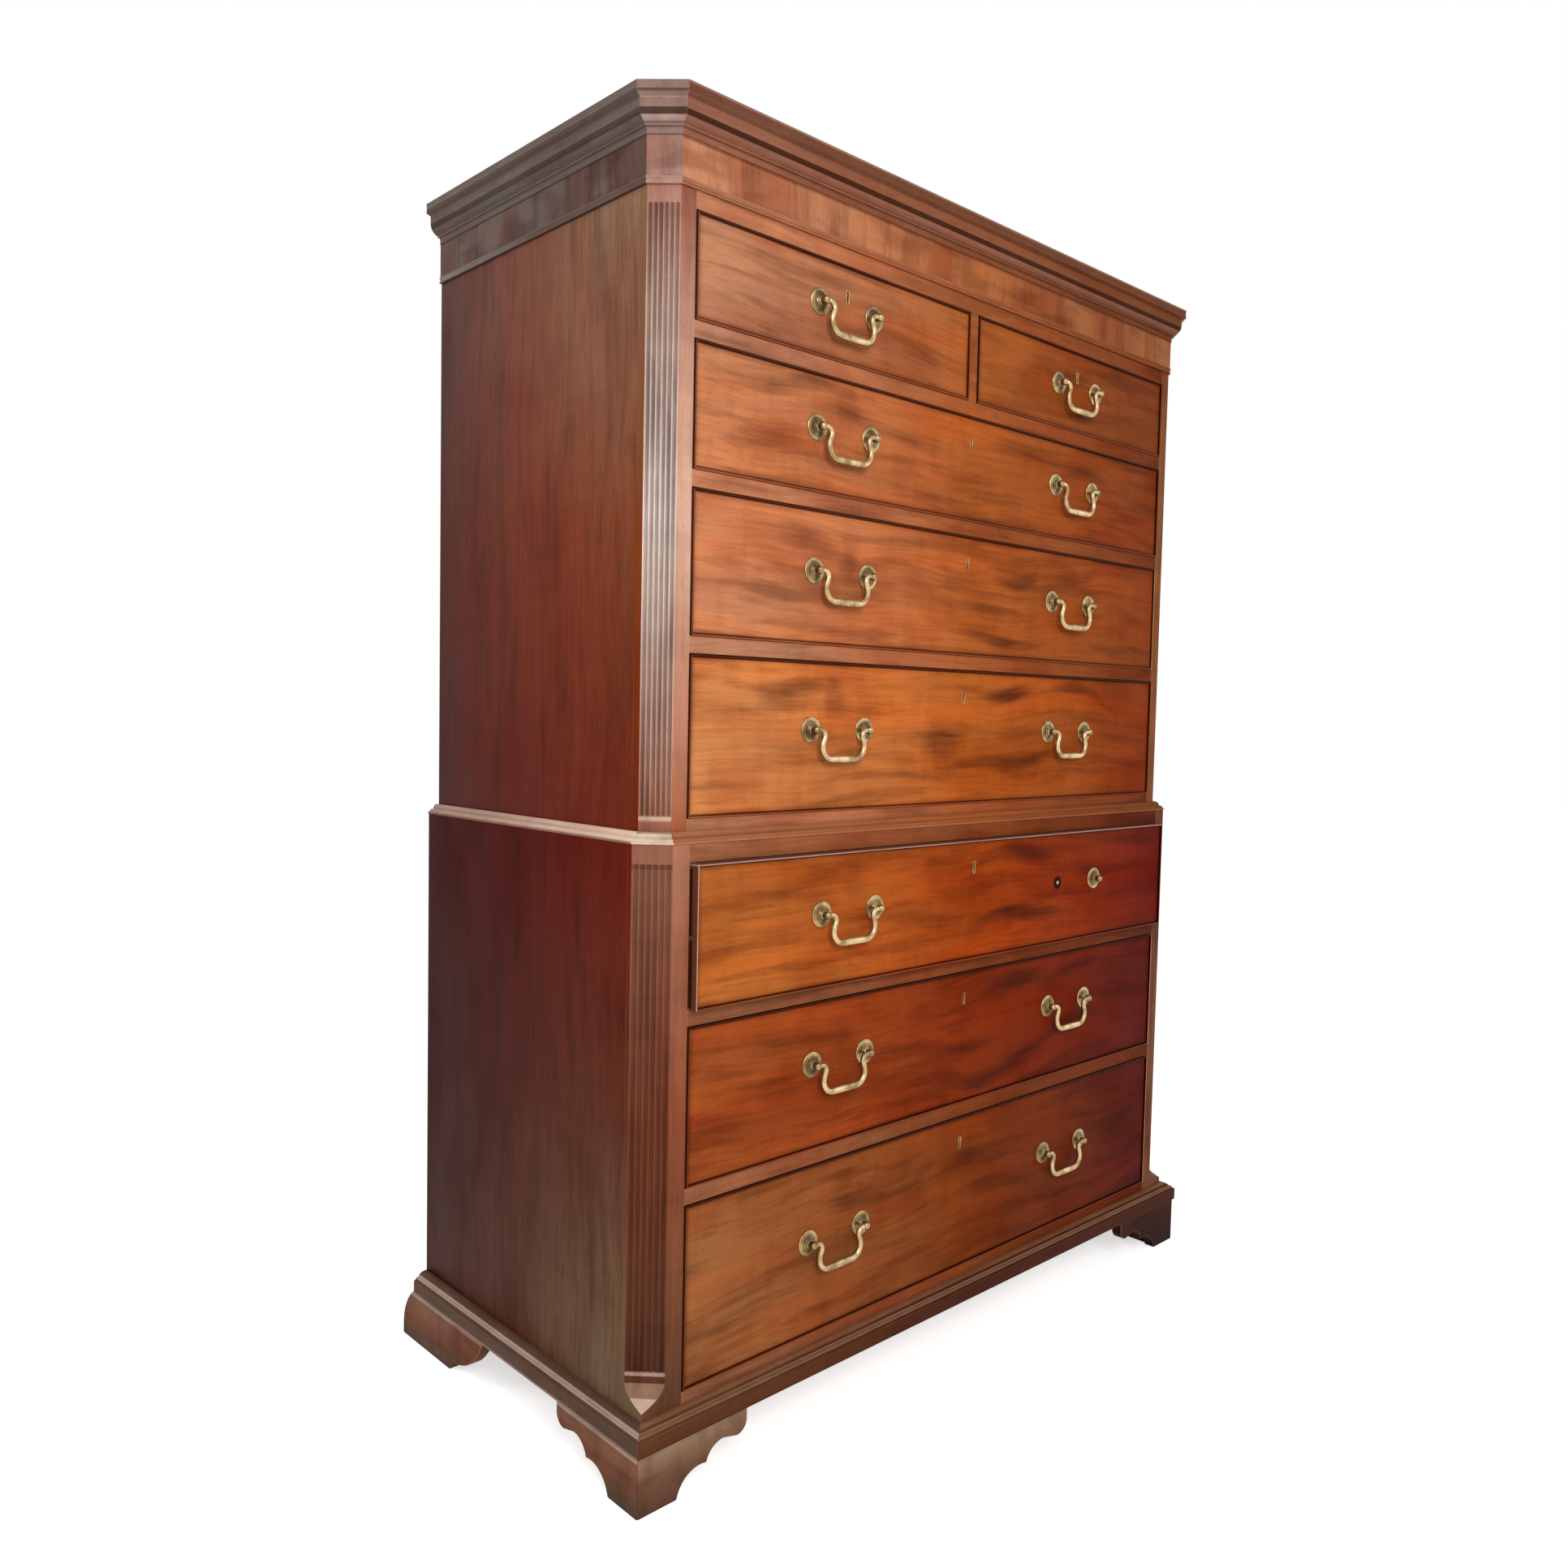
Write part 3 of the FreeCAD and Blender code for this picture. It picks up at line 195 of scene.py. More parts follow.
def surface(tree, face, spot):
    # one tone, multiplied by fades (three tones spread along an axis), under soft bands between two heights
    colour = linear(face["tone"])
    for axis, start, end, *tones in face.get("fades", ()):
        way = mapped(tree, spot[axis], start * mm, end * mm)
        ramp = [(0.5 * number, tone) for number, tone in enumerate(tones)]
        fade = add(tree, "ValToRGB", {0: way}, ramp=ramp).outputs[0]
        colour = laid(tree, 1.0, colour, fade, "MULTIPLY")
    for low, high, tone, share in face.get("bands", ()):
        edges = [(level - bandEdge, level + bandEdge) for level in (low, high)]
        colour = laid(tree, between(tree, spot["Z"], *edges, share), colour, tone)
    return colour


def pastMitre(tree, level, plain, sloped, slope):
    # 1 where plain + slope * sloped is over a level in mm
    mitre = maths(tree, "ADD", plain, maths(tree, "MULTIPLY", sloped, slope))
    return mapped(tree, mitre, (level - mitreEdge) * mm, (level + mitreEdge) * mm)


def sideAndCant(tree, look, spot):
    # how far a point belongs to the side, and to the cant, of a moulding, a foot or a post
    turned = cantShare = None
    across = maths(tree, "ABSOLUTE", spot["X"])
    if look["turnAt"]:
        slope, level = look["turnAt"]
        turned = pastMitre(tree, level, spot["Y"], across, slope)
    if look["cantFrom"]:
        slope, level = look["cantFrom"]
        cantShare = pastMitre(tree, level, across, spot["Y"], slope)
    if look["postAt"]:  # a post's flat faces lie on the case's planes, and its cant sinks behind both
        half, front = look["postAt"]
        outside = maths(tree, "SUBTRACT", half * mm, across)
        behind = maths(tree, "SUBTRACT", spot["Y"], front * mm)
        start, end = postEdge["side"]
        turned = mapped(tree, outside, start * mm, end * mm, 1.0, 0.0)
        start, end = postEdge["cant"]
        cantShare = mapped(tree, maths(tree, "MINIMUM", outside, behind), start * mm, end * mm)
    return turned, cantShare


def grainLayers(tree, look, place):
    # noises drawn out along the grain, which wanders: a slow noise pushes it to and fro
    seed = look["seed"]
    offset = (seed, slowNoise["across"] * seed, slowNoise["height"])
    moved = add(tree, "Mapping", {0: place, 1: offset}).outputs[0]
    slow = noise(tree, moved, slowNoise["scale"], 1.0, result="Color")
    centred = vectorMaths(tree, "SUBTRACT", {0: slow, 1: (0.5, 0.5, 0.5)})
    pushed = vectorMaths(tree, "SCALE", {0: centred, "Scale": look["wave"] * mm})
    bent = vectorMaths(tree, "ADD", {0: place, 1: pushed})
    layer = {}
    for number, (key, (along, across, detail, rough)) in enumerate(look["layers"].items()):
        scale = [1000 / across] * 3
        scale["xyz".index(look["grain"])] = 1000 / along
        offset = [seed * seedStep + number * layerStep] * 3
        moved = add(tree, "Mapping", {0: bent, 1: offset, 3: scale}).outputs[0]
        layer[key] = noise(tree, moved, 1.0, detail, rough)
    return layer, bent, centred


def smokyPatches(tree, look, colour, layer, bent, centred):
    # softened ovals, in the same places on every front cut from the same log
    stray = vectorMaths(tree, "SCALE", {0: centred, "Scale": look["patchStray"] * mm})
    strayed = vectorMaths(tree, "ADD", {0: bent, 1: stray})
    smoke = 0.0
    for x, down, long, tall, strength in look["patches"]:
        z = look["patchTop"] - down
        oval = add(tree, "Mapping", {
            0: strayed, 1: (-x / long, 0, -z / tall), 3: (1000 / long, 0, 1000 / tall),
        }).outputs[0]
        far = vectorMaths(tree, "LENGTH", {0: oval}, "Value")
        share = mapped(tree, far, *look["patchEdge"], 0.0, strength, smooth=True)
        smoke = maths(tree, "MAXIMUM", smoke, share)
    uneven = mapped(tree, layer["smoke"], 0.3, 0.6, 0.45, 1.0)
    smoke = maths(tree, "MULTIPLY", maths(tree, "MULTIPLY", smoke, uneven), look["patchShare"])
    return laid(tree, smoke, colour, look["patchTone"], "MULTIPLY")


def beadedEdge(tree, look, colour, layer, spot):
    # the bead is redder than the board, with dirt and painted shade near the edge, painted shade in the
    # crease behind it and a dark joint round it, painted shadow of the gap
    x0, x1, z0, z1 = (value * mm for value in look["bead"])
    edges = {
        "left": maths(tree, "SUBTRACT", spot["X"], x0), "right": maths(tree, "SUBTRACT", x1, spot["X"]),
        "bottom": maths(tree, "SUBTRACT", spot["Z"], z0), "top": maths(tree, "SUBTRACT", z1, spot["Z"]),
    }
    nearest = edges["left"]
    for key in ("right", "bottom", "top"):
        nearest = maths(tree, "MINIMUM", nearest, edges[key])
    # dirt with painted shade near the edges
    start, end, share = beadEdge["dirtAndShade"]
    dirtAndShade = mapped(tree, nearest, start * mm, end * mm, share, 0.0, smooth=True)
    dirtAndShade = maths(tree, "MULTIPLY", dirtAndShade, layer["cloud"])
    colour = laid(tree, dirtAndShade, colour, beadEdge["dirtAndShadeTone"], "MULTIPLY")
    start, end, share = beadEdge["bead"]
    colour = laid(tree, mapped(tree, nearest, start * mm, end * mm, share, 0.0), colour, look["beadTone"])
    # painted shade in the crease behind the bead
    crease = between(tree, nearest, *beadEdge["crease"])
    colour = laid(tree, crease, colour, beadEdge["creaseShadeTone"], "MULTIPLY")
    # the dark joint lines are painted shadow of the gap between the front and the case
    for key, (start, end) in beadEdge["joints"].items():
        joint = mapped(tree, edges[key], start * mm, end * mm, beadEdge["gapShadowShare"], 0.0)
        colour = laid(tree, joint, colour, look["joint"])
    # pale beads: wear, and a painted highlight along the bead
    for key, tone in look["paleBeadWearAndHighlight"].items():
        patchy = mapped(tree, layer["cloud"], 0.3, 0.5, 0.5, 1.0)
        worn = maths(tree, "MULTIPLY", between(tree, edges[key], *beadEdge["pale"]), patchy)
        colour = laid(tree, worn, colour, tone)
    return colour


def wood(name, **changes):
    # the tones of its faces, times ribbons, smoke, lines and pores drawn out along the grain
    look = {**plainLook, **changes}
    material, tree = newTree(name)
    place = add(tree, "TexCoord").outputs["Object"]
    spot = add(tree, "SeparateXYZ", {0: place}).outputs
    turned, cantShare = sideAndCant(tree, look, spot)
    grainPlace = place
    if look["turnAt"] and look["grain"] == "x":  # the grain turns the corner along the mitre
        swapped = add(tree, "CombineXYZ", {"X": spot["Y"], "Y": spot["X"], "Z": spot["Z"]}).outputs[0]
        grainPlace = add(tree, "Mix", {0: turned, 4: place, 5: swapped}, data_type="VECTOR").outputs[1]
    layer, bent, centred = grainLayers(tree, look, grainPlace)

    colour = surface(tree, look, spot)
    if look["cant"]:
        colour = laid(tree, cantShare, colour, surface(tree, look["cant"], spot))
    if look["side"]:
        colour = laid(tree, turned, colour, surface(tree, look["side"], spot))
    # golden ribbons, then the darker figure
    golden = mapped(tree, layer["ribbon"], *ribbonRange, 0.0, look["goldAmount"])
    colour = laid(tree, golden, colour, look["gold"], "OVERLAY")
    for key, (start, end) in layerRange.items():
        share = mapped(tree, layer[key], start, end, 0.0, look[key + "Amount"], smooth=True)
        colour = laid(tree, share, colour, look["red" if key == "cloud" else "dark"], "MULTIPLY")
    if look["patchShare"]:
        colour = smokyPatches(tree, look, colour, layer, bent, centred)
    if look["wornAmount"]:
        worn = mapped(tree, layer["cloud"], 0.40, 0.6, 0.0, look["wornAmount"])
        colour = laid(tree, worn, colour, look["worn"])
    if look["bead"]:
        colour = beadedEdge(tree, look, colour, layer, spot)
    for x, z, wide in look["stains"]:  # round dark marks left under lost brass
        centre = add(tree, "Mapping", {0: place, 1: (-x * mm, 0, -z * mm), 3: (1, 0, 1)}).outputs[0]
        away = vectorMaths(tree, "LENGTH", {0: centre}, "Value")
        start, end = (share * wide * mm for share in look["stainEdge"])
        mark = mapped(tree, away, start, end, look["stainShare"], 0.0, smooth=True)
        colour = laid(tree, mark, colour, look["stainTone"])
    if look["fluteDirtAndShade"]:  # dirt and painted shade kept in the flutes, told by a value on the points
        hollow = add(tree, "Attribute", attribute_name="hollow").outputs["Fac"]
        patchy = mapped(tree, layer["smoke"], 0.35, 0.65, 0.75 * look["fluteDirtAndShade"], 1.2 * look["fluteDirtAndShade"])
        colour = laid(tree, maths(tree, "MULTIPLY", hollow, patchy), colour, look["fluteDirtAndShadeTone"], "MULTIPLY")

    less, more = look["glossStray"]
    dull = mapped(tree, layer["cloud"], 0.35, 0.65, look["gloss"] - less, look["gloss"] + more)
    openGrain = maths(tree, "ADD", layer["pore"], layer["line"])
    share, depth = look["openGrain"]
    bump = add(tree, "Bump", {"Strength": share, "Distance": depth * mm, "Height": openGrain}, invert=True)
    shader = add(tree, "BsdfPrincipled", {
        "Base Color": colour, "Roughness": dull, "Normal": bump.outputs[0],
        "IOR": 1.5, "Specular IOR Level": look["specular"], "Specular Tint": linear(look["sheen"]),
    })
    add(tree, "OutputMaterial", {0: shader.outputs[0]})
    return material


age = {  # how the brass has aged: sizes of its noises per metre, where they show, and how much
    "patinaScale": 60.0, "dimAt": 0.34, "brightAt": 0.60, "dullBy": 0.18,
    "speckScale": 900.0, "speckRange": (0.58, 0.70), "speckShare": 0.5, "speckTone": "#4A3820",
    "dirtAndShadeShare": (0.95, 0.6), "dirtAndShadeTone": "#503A22", "pits": (0.25, 0.1),  # share, and depth in mm
}


def agedBrass(name, bright="#B89F72", dim="#7E6645", gloss=0.3):
    # old cast brass without lacquer: pale where hands rub it, brown with dirt and painted shade in the
    # dished rose, finely pitted
    material, tree = newTree(name)
    place = add(tree, "TexCoord").outputs["Object"]
    patina = noise(tree, place, age["patinaScale"], 3.0)
    specks = noise(tree, place, age["speckScale"], 2.0)
    ramp = [(age["dimAt"], dim), (age["brightAt"], bright)]
    colour = add(tree, "ValToRGB", {0: patina}, ramp=ramp).outputs[0]
    speckled = mapped(tree, specks, *age["speckRange"], 0.0, age["speckShare"])
    colour = laid(tree, speckled, colour, age["speckTone"])
    # darker in the dished rose round the neck: dirt and painted shade
    hollow = add(tree, "Attribute", attribute_name="hollow").outputs["Fac"]
    dirtyAndShaded = maths(tree, "MULTIPLY", hollow, mapped(tree, patina, 0.3, 0.7, *age["dirtAndShadeShare"]))
    colour = laid(tree, dirtyAndShaded, colour, age["dirtAndShadeTone"])
    rough = mapped(tree, patina, 0.3, 0.7, gloss + age["dullBy"], gloss)
    share, depth = age["pits"]
    bump = add(tree, "Bump", {"Strength": share, "Distance": depth * mm, "Height": specks})
    shader = add(tree, "BsdfPrincipled", {
        "Base Color": colour, "Roughness": rough, "Metallic": 1.0, "Normal": bump.outputs[0],
    })
    add(tree, "OutputMaterial", {0: shader.outputs[0]})
    return material


def sheetFaces(rows, columns, caps=True):
    # quads between neighbouring rows of a grid, wrapped round its columns and closed by two end faces
    index = np.arange(rows * columns).reshape(rows, columns)
    beside = np.roll(index, -1, axis=1)
    quads = np.stack([index[:-1], beside[:-1], beside[1:], index[1:]], axis=-1).reshape(-1, 4).tolist()
    if caps:
        quads += [np.arange(columns)[::-1].tolist(), (np.arange(columns) + (rows - 1) * columns).tolist()]
    return quads


def outward(points, faces):
    # turns a closed skin the right way: its volume, summed over fans of triangles, has to be positive
    flat = points.reshape(-1, 3)
    volume = sum(
        np.einsum("i,ni->", flat[face[0]], np.cross(flat[face[1:-1]], flat[face[2:]])) for face in faces
    )
    return [face[::-1] for face in faces] if volume < 0 else faces


def placed(name, mesh, materials):
    # an object at the origin that shows a mesh
    piece = bpy.data.objects.new(name, mesh)
    bpy.context.scene.collection.objects.link(piece)
    for material in materials:
        mesh.materials.append(material)
    return piece


def makePiece(name, parts, materials, body, replaced, sharp=35, hollow=None):
    # several closed skins become one piece that rides on a body; with as many materials, each has its own
    start, points, faces, chosen = 0, [], [], []
    for number, (grid, skin) in enumerate(parts):
        flat = grid.reshape(-1, 3)
        faces += [[corner + start for corner in face] for face in outward(flat, skin)]
        chosen += [number if len(materials) > 1 else 0] * len(skin)
        points.append(flat)
        start += len(flat)
    mesh = bpy.data.meshes.new(name)
    mesh.from_pydata(np.concatenate(points), [], faces)
    mesh.shade_smooth()
    mesh.set_sharp_from_angle(angle=math.radians(sharp))
    mesh.update()
    piece = placed(name, mesh, materials)
    mesh.polygons.foreach_set("material_index", chosen)
    if hollow is not None:
        mesh.attributes.new("hollow", "FLOAT", "POINT").data.foreach_set("value", hollow)
    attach(piece, body)
    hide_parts(replaced)


softening = {  # angles in degrees; points that share a cell are merged
    "cellsPerMetre": 2e5, "flat": 0.5, "sharp": 25, "segments": 2,
}


def softened(node, body, materials, width):
    # a merged copy of a CAD node, solid by solid, with its arrises rounded over and rubbed paler
    source = nodes[node].data
    corners = np.empty(len(source.loops), np.int32)
    source.loops.foreach_get("vertex_index", corners)
    places = np.empty(len(source.vertices) * 3, np.float32)
    source.vertices.foreach_get("co", places)
    places = places.reshape(-1, 3)[corners]
    cells = np.round(places * softening["cellsPerMetre"]).astype(np.int64)
    _, merged = np.unique(cells, axis=0, return_inverse=True)
    merged = merged.reshape(-1, 3)
    # triangles come solid by solid: a solid ends where every edge walked one way has been walked back
    openEdges, number, owner = set(), 0, []
    for a, b, c in merged.tolist():
        for one, other in ((a, b), (b, c), (c, a)):
            if (other, one) in openEdges:
                openEdges.remove((other, one))
            else:
                openEdges.add((one, other))
        owner.append(number)
        number += not openEdges
    keys = np.repeat(np.array(owner), 3) * (merged.max() + 1) + merged.reshape(-1)
    _, first, again = np.unique(keys, return_index=True, return_inverse=True)
    mesh = bpy.data.meshes.new(node + "_soft")
    mesh.from_pydata(places[first], [], again.reshape(-1, 3).tolist())
    work = bmesh.new()
    work.from_mesh(mesh)
    bmesh.ops.dissolve_limit(
        work, angle_limit=math.radians(softening["flat"]), verts=work.verts, edges=work.edges,
    )
    work.to_mesh(mesh)
    work.free()
    sharp = math.radians(softening["sharp"])
    mesh.shade_smooth()
    mesh.set_sharp_from_angle(angle=sharp)
    piece = placed(node + "_soft", mesh, materials)
    bevel = piece.modifiers.new("arris", "BEVEL")
    bevel.width, bevel.segments = width * mm, softening["segments"]
    bevel.limit_method, bevel.angle_limit = "ANGLE", sharp
    bevel.use_clamp_overlap, bevel.harden_normals = False, True
    bevel.material = len(materials) - 1
    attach(piece, body)
    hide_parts(node)
    return number


# smoky patches of the log, in mm: middle across, distance below the opening's top, half length and half
# height; the last number is how much of each shows
logPatches = (
    (128, 38, 70, 15, 1.0), (95, 146, 125, 13, 1.0), (-375, 36, 95, 15, 0.7), (-278, 50, 26, 30, 0.6),
    (320, 55, 66, 13, 0.7), (-5, 90, 85, 11, 0.6), (470, 110, 60, 12, 0.4), (-430, 100, 60, 9, 0.3),
)
tallPatch = (-28, 112, 52, 40, 0.9)


def leftToRight(*tones, start=-560, end=560):
    # three tones to multiply by, spread from left to right between two places in mm
    return ("X", start, end, *tones)


# the fronts go from golden to redder and darker from left to right, partly in the wood and partly as painted
# shade
upperFade = leftToRight("#FFFFFF", "#DEB470", "#A4702C")
lowerFade = leftToRight("#FFFFFF", "#D5A058", "#8A2C14")
frontLooks = {
    "short_drawer_left": {"tone": "#B88061", "seed": 1.3},
    "short_drawer_right": {"tone": "#B88061", "seed": 2.1},
    "upper_top_drawer": {"tone": "#C07E58", "seed": 3.7, "patchShare": 0.45},
    "upper_middle_drawer": {
        "tone": "#C88560", "seed": 4.4, "patchShare": 0.7, "paleBeadWearAndHighlight": {"right": "#C8906C"},
    },
    "upper_bottom_drawer": {
        "tone": "#CD8450", "seed": 5.9, "patchShare": 0.75, "patches": (*logPatches, tallPatch),
        "fades": (leftToRight("#FFFFFF", "#E0BA78", "#9C6626"),),
    },
    # its dark line, painted shadow, is lighter, and its top and left beads carry wear and a painted
    # highlight
    "lower_top_drawer": {
        "tone": "#B96C32", "seed": 6.2, "patchShare": 0.6, "joint": "#60382C",
        "paleBeadWearAndHighlight": {"left": "#C09A80", "top": "#B08C80"}, "stains": ((230.5, 736.5, 12),),
    },
    "lower_middle_drawer": {
        "tone": "#9C4F25", "seed": 7.5, "patchShare": 0.6, "paleBeadWearAndHighlight": {"right": "#C8906C"},
    },
    "lower_bottom_drawer": {
        "tone": "#98623B", "seed": 8.8, "patchShare": 0.25, "paleBeadWearAndHighlight": {"right": "#B98A68"},
    },
}
frontArris, frontWorn = 0.7, 0.12  # rounding in mm, and how worn the rounded edges are
solids = 0
for drawer, changes in frontLooks.items():
    low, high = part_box(drawer + "_front")
    box = [value / mm for value in (low.x, high.x, low.z, high.z)]
    fades = (lowerFade if drawer.startswith("lower") else upperFade,)
    changes = {"patches": logPatches, "patchTop": box[3], "bead": box, "fades": fades, **changes}
    title = drawer.replace("_", " ")
    # french polished mahogany, worn satin: orange brown, smoky patches along the board, fine pores
    polished = wood("french polished mahogany, " + title, **changes)
    wornEdge = wood("rubbed mahogany edge, " + title, **{**changes, "wornAmount": frontWorn})
    solids += softened(drawer + "_front", drawer, (polished, wornEdge), frontArris)
print("drawer fronts", solids)

# in mm: side where y + slope * |x| is over the level, and cant where |x| + slope * y is
upperMitre, waistMitre, baseMitre = (0.414, 11.2), (0.414, 8.2), (1, 340.5)
upperCant, waistCant = (0.414, 470.3), (0.414, 473.2)
satin = {"specular": 0.09, "gloss": 0.36}
calm = {"smokeAmount": 0.18, "lineAmount": 0.12, "cloudAmount": 0.2, "goldAmount": 0.08}
streaked = {**calm, "smokeAmount": 0.32, "lineAmount": 0.3, "cloudAmount": 0.32}
# the sides' two fades are painted light: a painted sheen that changes with height, and painted shade darker
# towards the back
upperSide = {"tone": "#88694F", "fades": (
    ("Y", -243, 281, "#FFFFFF", "#E2B0A8", "#8F677A"), ("Z", 862, 1667, "#D36430", "#EE9850", "#FFFFFF"),
)}
lowerSide = {"tone": "#736048", "fades": (
    ("Y", -253, 281, "#FFFFFF", "#C2887E", "#863430"), ("Z", 112, 847, "#FFFFFF", "#D88872", "#EE4F2B"),
)}
# these rises are painted shade and sheen up the height of the posts and stiles
upperRise = ("Z", 862, 1667, "#B8846C", "#FFFFFF", "#BC968A")
stileRise = ("Z", 862, 1667, "#C29072", "#FFFFFF", "#B49087")
lowerRise = ("Z", 150, 840, "#A0A09A", "#D6B5A5", "#FFFFFF")
# the rails darken to the right like the fronts, partly as painted shade
railFade = leftToRight("#FFFFFF", "#DCB080", "#A26C36")
caseLooks = {
    # long boards with upright grain, nearly maroon, satin
    "upper side mahogany": {**upperSide, "grain": "z", "seed": 11.0, **streaked, **satin},
    "lower side mahogany": {**lowerSide, "grain": "z", "seed": 12.0, **streaked, **satin, "specular": 0.045},
    # the posts' cants are paler than their stiles, a painted highlight; the bands at the lamb's tongue and
    # the ends of the flutes, palest of all, are painted highlights
    "upper left post mahogany": {
        "tone": "#D5AB97", "fades": (stileRise,), "postAt": (614, -273.5),
        "cant": {"tone": "#E7D8D0", "fades": (upperRise,), "bands": (
            (861, 873, "#8A5A4A", 0.6), (875.5, 880.5, "#D8C8BC", 0.6),
        )},
        "side": upperSide, "grain": "z", "seed": 13.0, "fluteDirtAndShade": 0.6, **calm,
    },
    # the right-hand post is darker than the left partly as painted shade, as the fronts are
    "upper right post mahogany": {"tone": "#80502F", "grain": "z", "seed": 13.5, "fluteDirtAndShade": 0.5},
    "lower left post mahogany": {
        "tone": "#A9745C", "fades": (lowerRise,), "postAt": (631, -290.5),
        "cant": {"tone": "#926350", "fades": (lowerRise,), "bands": (
            (117, 149, "#9C7F6B", 0.8), (119, 133, "#D8C2B0", 0.7), (158.5, 163.5, "#C8B0A2", 0.7),
            (815, 822, "#5E3C32", 0.5),
        )},
        "side": lowerSide, "grain": "z", "seed": 14.0, "fluteDirtAndShade": 0.4, **calm,
    },
    # the right-hand post is darker than the left partly as painted shade, as the fronts are
    "lower right post mahogany": {"tone": "#744A36", "grain": "z", "seed": 14.5, "fluteDirtAndShade": 0.5},
    "upper rail mahogany": {"tone": "#B58165", "fades": (railFade,), "seed": 15.0, "smokeAmount": 0.3},
    "lower rail mahogany": {"tone": "#99664A", "fades": (railFade,), "seed": 16.0, "smokeAmount": 0.3},
    # the mouldings carry painted light: painted shade in their hollows and under their projections, painted
    # highlights on faces that catch the light, cant and side tones of painted sheen and shade, and fades
    # partly of painted shade
    # a dark band under the cornice; the darker side and cant tones are painted shade and sheen
    "crossbanded frieze mahogany": {
        "tone": "#C08666", "fades": (leftToRight("#FFFFFF", "#DCBD93", "#C8B497"),),
        "bands": ((1722, 1725.5, "#7B4830", 0.6),), "turnAt": upperMitre, "cantFrom": upperCant,
        "cant": {"tone": "#A78376"}, "side": {"tone": "#685853"}, "grain": "z", "seed": 17.0,
        **calm, "mottleAmount": 0.3, "cloudAmount": 0.5, "smokeAmount": 0.35,
    },
    # dark bands are painted shadow under the corona and the crown, pale bands painted highlights; the cant
    # and side tones are painted sheen and shade
    "cornice mahogany": {
        "tone": "#8E604C", "fades": (leftToRight("#FFFFFF", "#F0D8B8", "#C8A878"),),
        "bands": (
            (1737, 1743, "#A77867", 0.4), (1743.5, 1750, "#2A0E06", 0.85),
            (1766, 1777, "#5C3828", 0.7), (1777.5, 1781, "#907468", 0.8),
        ),
        "turnAt": upperMitre, "cantFrom": upperCant,
        "cant": {"tone": "#8D7770", "bands": (
            (1738, 1743, "#BBA5A1", 0.7), (1743.5, 1751, "#3A2622", 0.85), (1762, 1766, "#BDA39E", 0.6),
            (1766, 1770, "#4F3D3B", 0.8),
        )},
        "side": {"tone": "#6C605C", "bands": ((1743.5, 1751, "#403433", 0.8), (1766, 1770, "#463730", 0.8))},
        "seed": 18.0, **calm,
    },
    # the dark bands are painted shadow under the bead; the grey side, fading along its depth, is painted
    # sheen
    "frieze bead mahogany": {
        "tone": "#B17758", "fades": (leftToRight("#FFFFFF", "#F0D0A8", "#AC8C5A"),),
        "bands": ((1668.7, 1670.7, "#6A4030", 0.6),), "turnAt": upperMitre, "cantFrom": upperCant,
        "cant": {"tone": "#B89686"},
        "side": {"tone": "#888685", "fades": (("Y", -243, 281, "#BFA9A0", "#CAB2B1", "#FFFFFF"),),
                 "bands": ((1666, 1668.5, "#3C342E", 0.7),)},
        "seed": 18.5, **calm,
    },
    # the pale cant and side are painted highlights where the moulding catches the light; the dark bands are
    # painted shade
    "waist mahogany": {
        "tone": "#A26B4B", "fades": (leftToRight("#FFFFFF", "#F7CF8A", "#B9955A"),),
        "bands": ((846, 848.8, "#B88262", 0.4), (853, 855, "#7C391E", 0.4)),
        "turnAt": waistMitre, "cantFrom": waistCant,
        "cant": {"tone": "#DCC8B2", "bands": ((853, 854.8, "#B2AC92", 0.6), (859.5, 862, "#7B5948", 0.7))},
        "side": {"tone": "#E3C9B2", "fades": (("Y", -253, 281, "#FFFFFF", "#DCD6DA", "#C2BEC6"),),
                 "bands": ((846, 850, "#7A4A32", 0.8),)},
        "seed": 19.0, **calm,
    },
    # pale bands are painted highlights on the bead and arrises, dark ones painted shade; front and side
    # differ at one height as painted light
    "base mahogany": {
        "tone": "#613C27", "fades": (leftToRight("#FFFFFF", "#C4A494", "#B48E7C", start=-640, end=600),),
        "bands": ((80, 83, "#3C2418", 0.5), (103, 107.5, "#90705A", 0.6), (110.3, 113, "#94684C", 0.6)),
        "turnAt": baseMitre,
        "side": {"tone": "#594437", "bands": ((80, 83.5, "#A08C80", 0.6), (104, 108.3, "#B6A49C", 0.85))},
        "seed": 20.0, **calm,
    },
    # painted shade: darker and greyer towards the floor; the pale band at the top of its side is a painted
    # highlight
    "foot mahogany": {
        "tone": "#977E66", "turnAt": baseMitre, "fades": (
            leftToRight("#FFFFFF", "#B09A88", "#703C28", start=-600, end=600),
            ("Z", 0, 80, "#A28C8C", "#C4A89E", "#FFFFFF"),
        ),
        "side": {"tone": "#855F49", "fades": (("Z", 0, 80, "#98A8A8", "#E0C0B0", "#FFFFFF"),),
                 "bands": ((73, 80, "#D8BCAA", 0.5),)},
        "seed": 21.0, **calm, "smokeAmount": 0.35, "mottleAmount": 0.25, "cloudAmount": 0.4,
    },
    # pale sawn pine for what doesn't show: broad soft lines, few pores, and painted shade near the front,
    # where it shows in the gaps round the drawers
    "pine": {
        "layers": pineLayers, "grain": "y", "seed": 22.0, "tone": "#AC865A",
        "fades": (("Y", -295, -235, "#4A3020", "#B89878", "#FFFFFF"),),
        "dark": "#8A6238", "red": "#D8B890", "smokeAmount": 0.5, "gloss": 0.62,
    },
    "back pine": {
        "layers": pineLayers, "seed": 23.0, "tone": "#785A3E", "dark": "#6A4628", "red": "#A08060",
        "smokeAmount": 0.6, "gloss": 0.7, "poreAmount": 0.3,
    },
}
